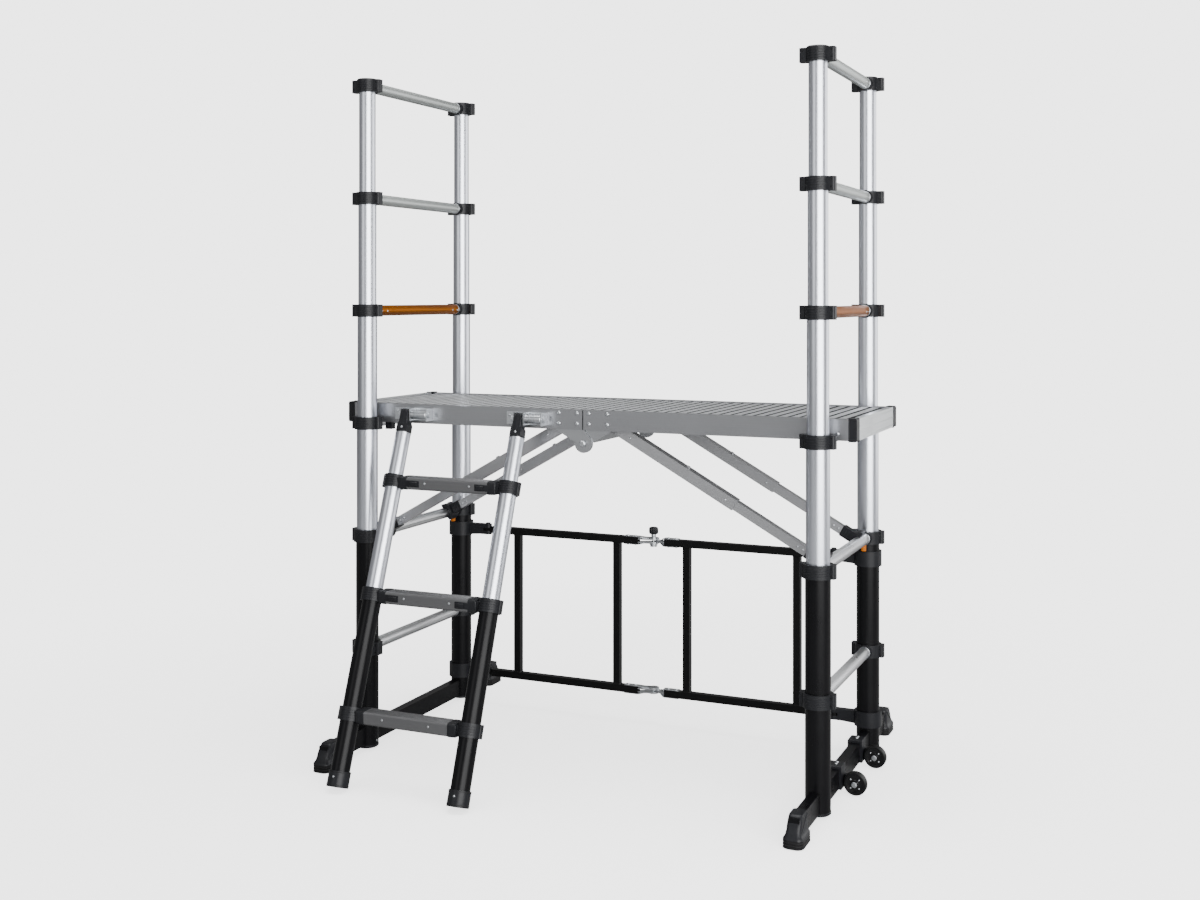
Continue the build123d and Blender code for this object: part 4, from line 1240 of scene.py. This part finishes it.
@dataclass
class StrutPair:
    """The front and back struts of one half."""

    side: Side
    layout: Layout
    shop: FinishShop
    spread: float = 172.0
    pivot_x: float = 70.0
    pivot_z: float = 878.0
    outer_length: float = 366.0
    tab: float = 217.0
    rung_level: int = 2
    outer: float = 28.0
    inner: float = 23.0

    @property
    def fall(self) -> float:
        """The struts' slope below level, in radians."""
        drop = self.pivot_z - self.layout.level(self.rung_level)
        return math.atan2(drop, self.layout.tower_x - self.pivot_x)

    def axis(self, sign: int) -> Matrix:
        """From a drawing along the strut (X down the strut, Z up) to the row frame."""
        y = self.layout.mid_y + sign * self.spread
        place = Matrix.Translation((self.side.value * self.pivot_x, y, self.pivot_z))
        mirror = Matrix.Scale(self.side.value, 4, (1, 0, 0))
        return place @ mirror @ Matrix.Rotation(self.fall, 4, "Y")

    def build(self) -> None:
        """Dresses the tubes and hooks and adds the rivets and tabs."""
        word = self.side.word
        tilt = (0.0, -self.side.value * math.degrees(self.fall), 0.0)
        metal = STRUT.turned(f"mill_strut_{word}", Run.ALONG, tilt)
        dress(f"{word}_strut_outers", metal, self.shop)
        hook_x = self.layout.tower_x - 90.0

        def hook(middle: Vector) -> int:
            """Number 1 for a hook, which is centred near its rung."""
            return 1 if abs(middle.x) > hook_x else 0

        zoned(f"{word}_strut_inners", f"{word}_strut_slides", f"{word}_strut_inners_dressed", [metal, NYLON], hook,
              self.shop)
        self.outer_trim(metal)
        self.inner_trim()

    def outer_trim(self, metal: Finish) -> None:
        """Pivot washers, a stop tab and rivets."""
        former = Former()
        half = self.outer / 2
        for sign in (-1, 1):
            former.at(self.axis(sign))
            for face in (-1, 1):
                former.use(1).lathe([(9.0, half - 0.2), (9.0, half + 1.4), (8.2, half + 2.0), (6.4, half + 2.0)],
                                    (0, 0, 0), (0, face, 0), 28)
            former.use(0).block((self.tab - 4.5, -4.0, half - 0.5), (self.tab + 4.5, 4.0, half + 4.4), 1.2)
            for x in (self.outer_length - 26.0, 52.0):
                for face in (-1, 1):
                    former.use(1).dome((x, face * half, 0.0), (0, face, 0), 2.6, 1.4, 16)
        former.piece(f"{self.side.word}_strut_trim", f"{self.side.word}_struts", [metal, ZINC], self.shop,
                     "mill_aluminium")

    def inner_trim(self) -> None:
        """Rivets by the hook, and the hook's ribs."""
        former = Former()
        half = self.inner / 2
        for sign in (-1, 1):
            former.at(self.axis(sign))
            for face in (-1, 1):
                for s in (548.0, 563.0):
                    former.use(1).dome((s, face * half, 0.0), (0, face, 0), 3.2, 1.8, 18)
                for s in (577.0, 584.0, 591.0):
                    former.use(0).block((s, face * 14.0 - 0.8, -10.5), (s + 2.2, face * 14.0 + 0.8, 10.5), 0.6)
        former.piece(f"{self.side.word}_strut_hook_trim", f"{self.side.word}_strut_slides", [NYLON, ZINC], self.shop,
                     "black_plastic")


@dataclass
class RearBrace:
    """The two folding halves at the back and their pull pin."""

    layout: Layout
    shop: FinishShop
    top: float = 515.0
    bottom: float = 90.0
    rail: float = 20.0
    post: float = 20.0
    posts: tuple[float, float] = (424.0, 106.0)
    hinge_offset: float = 13.0

    def build(self) -> None:
        """Dresses both halves and the pull pin."""
        for side in Side:
            self.half(side)
        self.pull_pin()

    @property
    def y(self) -> float:
        """The rails' plane."""
        return self.layout.mid_y + self.layout.stile_offset

    def half(self, side: Side) -> None:
        """One half: black frame, bright hinge plates, rivets and weld beads.

        Args:
            side: which half.
        """
        word = side.word

        def plate(middle: Vector) -> int:
            """Number 1 for a hinge plate or rivet, which is near the centre."""
            return 1 if abs(middle.x) < 60.0 else 0

        zoned(f"{word}_brace_frame", f"{word}_brace", f"{word}_brace_frame_dressed", [POWDER_AND_SEAM_SHADE, ZINC], plate, self.shop)
        former = Former()
        for z in (self.top, self.bottom):
            for face in (-1, 1):
                self.strap(former.use(1), side, z, face)
                for x in (50.0, 73.0):
                    centre = (side.value * x, self.y, z + face * (self.rail / 2 + 2.0))
                    former.use(1).dome(centre, (0, 0, face), 4.2, 2.6, 20)
        for x in self.posts:
            self.bead(former, side.value * x, self.bottom + self.rail / 2, 1)
            self.bead(former, side.value * x, self.top - self.rail / 2, -1)
        former.piece(f"{word}_brace_trim", f"{word}_brace", [POWDER_AND_SEAM_SHADE, ZINC], self.shop, "black_steel")

    def strap(self, former: Former, side: Side, z: float, face: int) -> None:
        """Hinge strap: flat on a rail, then bent inward to the hinge.

        Args:
            former: where it goes.
            side: which half.
            z: height of the hinge.
            face: 1 for the upper strap, -1 for the lower one.
        """
        rail = self.rail / 2
        left = side is Side.LEFT
        inner = 6.2 if left else 0.7
        tip = 9.0 if left else 19.5
        path = [(82.0, 0.0, 8.0, rail), (80.0, 0.0, 9.0, rail), (42.0, 0.0, 9.0, rail), (36.0, 0.8, 9.4, rail - 0.8),
                (26.0, 6.0, 10.6, inner + 0.8), (21.0, 9.0, 11.4, inner), (tip, 12.0, 11.6, inner)]
        rings = []
        for x, back, half, low in path:
            y = self.y + back
            a, b = z + face * low, z + face * (low + 2.0)
            rings.append([(side.value * x, y - half, a), (side.value * x, y + half, a),
                          (side.value * x, y + half, b), (side.value * x, y - half, b)])
        former.loft(rings)
        if left:
            eye = [(4.4, 6.2), (15.2, 6.2), (15.8, 6.8), (15.8, 7.6), (15.2, 8.2), (4.4, 8.2)]
            centre = (0.0, self.y + self.hinge_offset, z)
            former.lathe(eye, centre, (0, 0, face), 40, closed=True)
            if z == self.top and face < 0:
                boss = [(4.4, 8.0), (10.6, 8.0), (11.0, 8.6), (11.0, 13.0), (9.6, 14.2), (9.6, 17.4), (4.4, 17.4)]
                former.lathe(boss, centre, (0, 0, face), 32, closed=True)

    def bead(self, former: Former, x: float, z: float, up: int) -> None:
        """Weld bead round the end of a post.

        Args:
            former: where it goes.
            x: the post's place.
            z: face of the rail.
            up: 1 where the post stands on the rail, -1 where it hangs from it.
        """
        half = self.post / 2
        steps = ((0.1, 1.0), (0.8, 0.95), (2.0, 0.45), (2.8, 0.1))
        rings = [corner_ring(x, self.y, z + up * h, half + out, half + out, 1.6, 3) for h, out in steps]
        former.use(0).loft(rings)

    def pull_pin(self) -> None:
        """The spring pin: bright pin and barrel, and a fluted black knob."""
        low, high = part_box("brace_lock_pin")
        centre = ((low.x + high.x) / 2 / MM, (low.y + high.y) / 2 / MM, 0.0)
        bottom, top = low.z / MM, high.z / MM
        knob = top - 20.0
        barrel = knob - 11.7
        former = Former()
        former.use(1).lathe([(2.6, bottom), (4.0, bottom + 1.8), (4.0, barrel + 0.5)], centre, (0, 0, 1), 28)
        former.use(1).lathe([(6.4, barrel), (7.0, barrel + 0.6), (7.0, barrel + 4.6), (6.2, barrel + 5.2),
                             (6.2, barrel + 6.2), (7.0, barrel + 6.8), (7.0, knob + 0.2)], centre, (0, 0, 1), 32)
        former.use(0).lathe([(8.6, knob), (11.6, knob + 1.0), (13.4, knob + 4.0), (13.5, knob + 14.4),
                             (12.6, knob + 18.0), (10.2, knob + 19.7), (3.0, knob + 20.0)], centre, (0, 0, 1), 96,
                            flutes=12, depth=1.6)
        former.piece("brace_pull_knob", "brace_lock_pin", [NYLON, ZINC], self.shop, "black_plastic",
                     ["brace_lock_pin"])


@dataclass
class AccessLadder:
    """The telescopic ladder that hangs on the platform's front rail."""

    layout: Layout
    shop: FinishShop
    stiles: tuple[float, float] = (-502.0, -166.0)
    hinge_y: float = -243.0
    hinge_z: float = 896.0
    lean: float = 20.0
    treads: tuple[float, float, float] = (770.0, 476.0, 182.0)
    radii: tuple[float, float, float] = (24.0, 24.0, 22.0)
    socket: float = 41.0
    tread_depth: float = 42.0
    tread_height: float = 32.0
    foot: float = 943.67
    plate_face: float = 223.3

    def axis(self, x: float) -> Matrix:
        """From a drawing on a stile (Z up the stile) to the row frame."""
        place = Matrix.Translation((x, self.layout.mid_y + self.hinge_y, self.hinge_z))
        return place @ Matrix.Rotation(math.radians(-self.lean), 4, "X")

    def build(self) -> None:
        """Dresses the ladder and adds its small pieces."""
        tilt = (self.lean, 0.0, 0.0)
        silver = SILVER.turned("satin_silver_ladder_tube", Run.UP, tilt)
        black = BLACK_TUBE.turned("semi_gloss_black_ladder_tube", Run.UP, tilt)
        dress("ladder_top_stiles", silver, self.shop)
        dress("ladder_middle_stiles", silver, self.shop)
        dress("ladder_lower_stiles", black, self.shop)
        for node in ("ladder_heads", "ladder_middle_collars", "ladder_lower_collars"):
            dress(node, NYLON, self.shop)
        dress("ladder_middle_tread", TREAD, self.shop)
        dress("ladder_lower_treads", TREAD, self.shop)
        dress("ladder_brackets", ZINC, self.shop)
        self.tread_trim("ladder_lower", (0, 1))
        self.tread_trim("ladder_middle", (2,))
        self.collar_ribs("ladder_lower", (0, 1))
        self.collar_ribs("ladder_middle", (2,))
        self.foot_rings()
        self.bracket_trim()
        self.head_trim()

    def tread_place(self, index: int) -> tuple[float, float]:
        """Y and Z of a tread's middle."""
        slope = math.radians(self.lean)
        distance = self.treads[index]
        return (self.layout.mid_y + self.hinge_y - distance * math.sin(slope),
                self.hinge_z - distance * math.cos(slope))

    def tread_trim(self, body: str, indices: Iterable[int]) -> None:
        """Grip ridges, end blocks, slide buttons and rivets of the treads.

        Args:
            body: body that carries them.
            indices: which treads.
        """
        former = Former()
        x0, x1 = self.stiles[0] + self.socket, self.stiles[1] - self.socket
        for index in indices:
            y, z = self.tread_place(index)
            top = z + self.tread_height / 2
            front = y - self.tread_depth / 2
            for k in range(9):
                ridge = y - 15.0 + 30.0 * k / 8
                former.use(0).block((x0 + 13, ridge - 0.9, top - 0.3), (x1 - 13, ridge + 0.9, top + 0.9), 0.4)
            for end, inward in ((x0, 1), (x1, -1)):
                self.end_block(former, end, inward, y, z)
                if index:
                    self.slide_button(former, end, inward, front, z)
                former.use(2).dome((end + inward * 62.0, front, z + 2.0), (0, -1, 0), 3.0, 1.6, 18)
                former.use(2).dome((end + inward * 62.0, front + self.tread_depth, z + 2.0), (0, 1, 0), 3.0, 1.6, 18)
        former.piece(f"{body}_tread_trim", body, [TREAD, NYLON, ZINC], self.shop, "grey_aluminium")

    def end_block(self, former: Former, end: float, inward: int, y: float, z: float) -> None:
        """Moulded sleeve round the end of a tread.

        Args:
            former: where it goes.
            end: X of the tread's end.
            inward: direction towards the tread's middle.
            y: the tread's middle along Y.
            z: the tread's middle height.
        """
        hy, hz = self.tread_depth / 2 + 1.0, self.tread_height / 2 + 0.8
        rings = []
        for along, inset in ((-13.4, 2.4), (-11.6, 0.6), (-1.0, 0.0), (8.5, 0.0), (10.5, 1.4)):
            ring = corner_ring(y, z, 0.0, hy - inset, hz - inset, 5.5, 4)
            rings.append([(end + inward * along, a, b) for a, b, _ in ring])
        former.use(1).loft(rings)

    def slide_button(self, former: Former, end: float, inward: int, front: float, z: float) -> None:
        """Release slide in a shallow housing on the front of a tread.

        Args:
            former: where it goes.
            end: X of the tread's end.
            inward: direction towards the tread's middle.
            front: Y of the tread's front face.
            z: the tread's middle height.
        """
        a, b = sorted((end + inward * 6.0, end + inward * 46.0))
        former.use(1).block((a, front - 1.2, z - 8.5), (b, front + 1.0, z + 8.5), 1.0)
        a, b = sorted((end + inward * 20.0, end + inward * 42.0))
        former.use(1).block((a, front - 5.0, z - 5.6), (b, front - 0.8, z + 5.6), 1.4)
        for k in range(4):
            x = end + inward * (24.5 + 4.4 * k)
            former.use(1).block((x - 0.8, front - 5.8, z - 4.4), (x + 0.8, front - 4.6, z + 4.4), 0.4)

    def collar_ribs(self, body: str, indices: Iterable[int]) -> None:
        """Ribs on the front and back of the ladder's collars.

        Args:
            body: body that carries them.
            indices: which treads' collars.
        """
        former = Former()
        for index in indices:
            for x in self.stiles:
                former.at(self.axis(x))
                for row in (-9.0, -3.0, 3.0, 9.0):
                    for middle in (-90.0, 90.0):
                        centre = (0.0, 0.0, -self.treads[index] + row)
                        band(former, centre, self.radii[index] + 5.0, 0.8, 1.5, middle, 52.0)
        former.piece(f"{body}_collar_ribs", body, [NYLON], self.shop, "black_plastic")

    def foot_rings(self) -> None:
        """Rings round the foot caps."""
        former = Former()
        for x in self.stiles:
            former.at(self.axis(x))
            former.use(1).dome((0.0, -26.8, 24.0 - self.foot), (0, -1, 0), 2.8, 1.2, 14)
            former.use(0)
            for rise in (5.0, 35.0):
                centre = (0.0, 0.0, -self.foot + rise)
                ring = [(26.4, -1.3), (27.7, -0.8), (27.7, 0.8), (26.4, 1.3)]
                former.lathe(ring, centre, (0, 0, 1), 48, closed=True)
        former.piece("ladder_foot_rings", "ladder_lower", [BOOT_RUBBER, ZINC], self.shop, "black_plastic")

    def head_trim(self) -> None:
        """Screws, ribs and seating collars of the heads."""
        former = Former()
        for x in self.stiles:
            former.at(self.axis(x))
            for face in (-1, 1):
                former.use(1).dome((0.0, face * 15.0, -38.0), (0, face, 0), 3.4, 1.8, 18)
                former.use(0).block((-15.6, face * 15.0 - 0.7, -46.5), (15.6, face * 15.0 + 0.7, -43.5), 0.5)
                former.use(0).block((-6.0, face * 15.0 - 0.9, -32.0), (6.0, face * 15.0 + 0.9, 8.0), 0.8)
            former.use(1).lathe([(20.4, -53.4), (20.6, -52.6), (20.6, -51.0), (19.0, -50.4)], (0, 0, 0), (0, 0, 1), 40)
            former.use(0).lathe([(20.2, -50.8), (20.2, -48.0), (19.0, -46.6), (17.0, -46.6)], (0, 0, 0), (0, 0, 1), 40)
        former.piece("ladder_head_trim", "ladder_top", [NYLON, ZINC], self.shop, "black_plastic")

    def bracket_trim(self) -> None:
        """Plate bolts and the grooved sleeves on the brackets' axles."""
        former = Former()
        face = self.layout.mid_y - self.plate_face
        for x in self.stiles:
            for dx, dz in ((-40.0, 7.0), (-27.0, -8.0)):
                former.dome((x + dx, face, self.hinge_z + dz), (0, -1, 0), 3.6, 2.2, 20)
            self.sleeve(former, x)
            former.hexagon((x + 66.0, self.layout.mid_y + self.hinge_y, self.hinge_z), (1, 0, 0), 7.6, 4.6)
        former.piece("ladder_bracket_trim", "ladder_carrier", [ZINC], self.shop, "zinc_steel")

    def sleeve(self, former: Former, x: float) -> None:
        """Sleeve with grooves in its middle, between two cheeks of a bracket.

        Args:
            former: where it goes.
            x: the stile's place.
        """
        start, end = x + 16.4, x + 62.6
        profile = [(5.4, start), (11.4, start), (12.4, start + 1.2), (12.4, start + 9.0)]
        groove = start + 9.6
        for _ in range(5):
            profile += [(11.0, groove), (11.0, groove + 1.4), (12.4, groove + 2.0), (12.4, groove + 3.6)]
            groove += 4.2
        profile += [(12.4, end - 1.2), (11.4, end), (5.4, end)]
        former.lathe(profile, (0.0, self.layout.mid_y + self.hinge_y, self.hinge_z), (1, 0, 0), 40, closed=True)


@dataclass
class Studio:
    """Pale floor, soft lights and the camera."""

    camera_at: Point = (1.465, -3.4534, 1.2073)
    heading: float = 23.67
    lens: float = 42.16
    shift_y: float = -0.1275
    floor_half: float = 16.0
    paper: float = 3.6
    near_share: float = 0.55
    air: float = 0.26
    fade: tuple[float, float] = (0.5, 2.6)
    bounce_tone: Colour = (0.34, 0.34, 0.34)
    seen_tone: Colour = (0.92, 0.92, 0.92)

    def build(self, layout: Layout) -> None:
        """Sets the whole studio.

        Args:
            layout: places of the scaffold.
        """
        self.floor()
        self.light("key_softbox", (3.3, -3.3, 1.5), (0.0, 0.0, 1.1), (4.6, 3.2), 380.0)
        self.light("back_right_softbox", (3.3, 2.8, 1.7), (0.2, 0.0, 0.9), (4.2, 3.2), 100.0)
        self.light("front_left_softbox", (-2.2, -4.8, 2.2), (0.0, 0.0, 0.9), (2.6, 3.0), 34.0)
        self.light("top_softbox", (0.1, -0.1, 4.4), (0.0, 0.0, 0.0), (4.0, 3.0), 200.0)
        self.world()
        self.camera(layout)

    def floor(self) -> None:
        """A wide pale floor that fades to white paper away from the scaffold."""
        former = Former()
        half = self.floor_half / MM
        corners = [(-half, -half, 0.0), (half, -half, 0.0), (half, half, 0.0), (-half, half, 0.0)]
        former.mesh.faces.new([former.mesh.verts.new(Vector(p) * MM) for p in corners])
        data = bpy.data.meshes.new("studio_floor")
        former.mesh.to_mesh(data)
        former.mesh.free()
        floor = bpy.data.objects.new("studio_floor", data)
        bpy.context.scene.collection.objects.link(floor)
        data.materials.append(self.paper_material())

    def paper_material(self) -> bpy.types.Material:
        """Matt paper: lit near the scaffold, even white further out, darker to the light that it bounces."""
        paper = bpy.data.materials.new("pale_paper")
        paper.use_nodes = True
        tree = paper.node_tree
        nodes, links = tree.nodes, tree.links
        matt = nodes["Principled BSDF"]
        matt.inputs["Roughness"].default_value = 0.9
        path = add(tree, "ShaderNodeLightPath")
        tone = add(tree, "ShaderNodeMix",
                   {6: (*self.bounce_tone, 1.0), 7: (*self.seen_tone, 1.0)}, data_type="RGBA")
        links.new(path.outputs["Is Camera Ray"], tone.inputs["Factor"])
        links.new(tone.outputs[2], matt.inputs["Base Color"])
        place = add(tree, "ShaderNodeTexCoord")
        reach = add(tree, "ShaderNodeVectorMath", operation="LENGTH")
        links.new(place.outputs["Object"], reach.inputs[0])
        fade = add(tree, "ShaderNodeMapRange", interpolation_type="SMOOTHSTEP")
        fade.inputs["From Min"].default_value, fade.inputs["From Max"].default_value = self.fade
        links.new(reach.outputs["Value"], fade.inputs["Value"])
        seen = add(tree, "ShaderNodeMath", operation="MULTIPLY")
        links.new(fade.outputs["Result"], seen.inputs[0])
        links.new(path.outputs["Is Camera Ray"], seen.inputs[1])
        lift = add(tree, "ShaderNodeEmission")
        level = add(tree, "ShaderNodeMath", {1: self.near_share * self.paper}, operation="MULTIPLY")
        links.new(path.outputs["Is Camera Ray"], level.inputs[0])
        links.new(level.outputs[0], lift.inputs["Strength"])
        lit = add(tree, "ShaderNodeAddShader")
        links.new(matt.outputs[0], lit.inputs[0])
        links.new(lift.outputs[0], lit.inputs[1])
        plain = add(tree, "ShaderNodeEmission", {"Strength": self.paper})
        both = add(tree, "ShaderNodeMixShader")
        links.new(seen.outputs[0], both.inputs[0])
        links.new(lit.outputs[0], both.inputs[1])
        links.new(plain.outputs[0], both.inputs[2])
        links.new(both.outputs[0], nodes["Material Output"].inputs["Surface"])
        return paper

    @staticmethod
    def light(name: str, place: Point, target: Point, size: tuple[float, float], power: float) -> None:
        """One soft rectangular light.

        Args:
            name: its name.
            place: where it is.
            target: where it points.
            size: its width and height.
            power: its power in watts.
        """
        lamp = bpy.data.lights.new(name, "AREA")
        lamp.shape = "RECTANGLE"
        lamp.size, lamp.size_y = size
        lamp.energy = power
        holder = bpy.data.objects.new(name, lamp)
        holder.location = place
        holder.rotation_euler = (Vector(target) - Vector(place)).to_track_quat("-Z", "Y").to_euler()
        holder.visible_camera = False
        bpy.context.scene.collection.objects.link(holder)

    def world(self) -> None:
        """White to the camera and a dim even light to everything else."""
        world = bpy.data.worlds.new("studio_air")
        world.use_nodes = True
        nodes, links = world.node_tree.nodes, world.node_tree.links
        air = nodes["Background"]
        air.inputs["Color"].default_value = (1.0, 1.0, 1.0, 1.0)
        path = nodes.new("ShaderNodeLightPath")
        level = nodes.new("ShaderNodeMapRange")
        level.inputs["To Min"].default_value = self.air
        level.inputs["To Max"].default_value = self.paper
        links.new(path.outputs["Is Camera Ray"], level.inputs["Value"])
        links.new(level.outputs["Result"], air.inputs["Strength"])
        bpy.context.scene.world = world

    def camera(self, layout: Layout) -> None:
        """The camera, level and shifted down.

        Args:
            layout: places of the scaffold, for the towers' mid plane.
        """
        lens = bpy.data.cameras.new("camera")
        lens.lens = self.lens
        lens.sensor_width = 36.0
        lens.shift_y = self.shift_y
        lens.clip_end = 60.0
        holder = bpy.data.objects.new("camera", lens)
        x, y, z = self.camera_at
        holder.location = (x, y + layout.mid_y * MM, z)
        holder.rotation_euler = Euler((math.radians(90.0), 0.0, math.radians(self.heading)))
        bpy.context.scene.collection.objects.link(holder)
        bpy.context.scene.camera = holder


def main() -> None:
    """Builds every sub-assembly in order."""
    logging.basicConfig(level=logging.INFO, format="%(name)s: %(message)s")
    shop = FinishShop(ShaderKit())
    layout = Layout.read()
    for side in Side:
        Tower(side, layout, shop).build()
        PlatformHalf(side, layout, shop).build()
        StrutPair(side, layout, shop).build()
    BaseWheels(layout, shop).build()
    RearBrace(layout, shop).build()
    AccessLadder(layout, shop).build()
    Studio().build(layout)


if __name__ == "__main__":
    main()
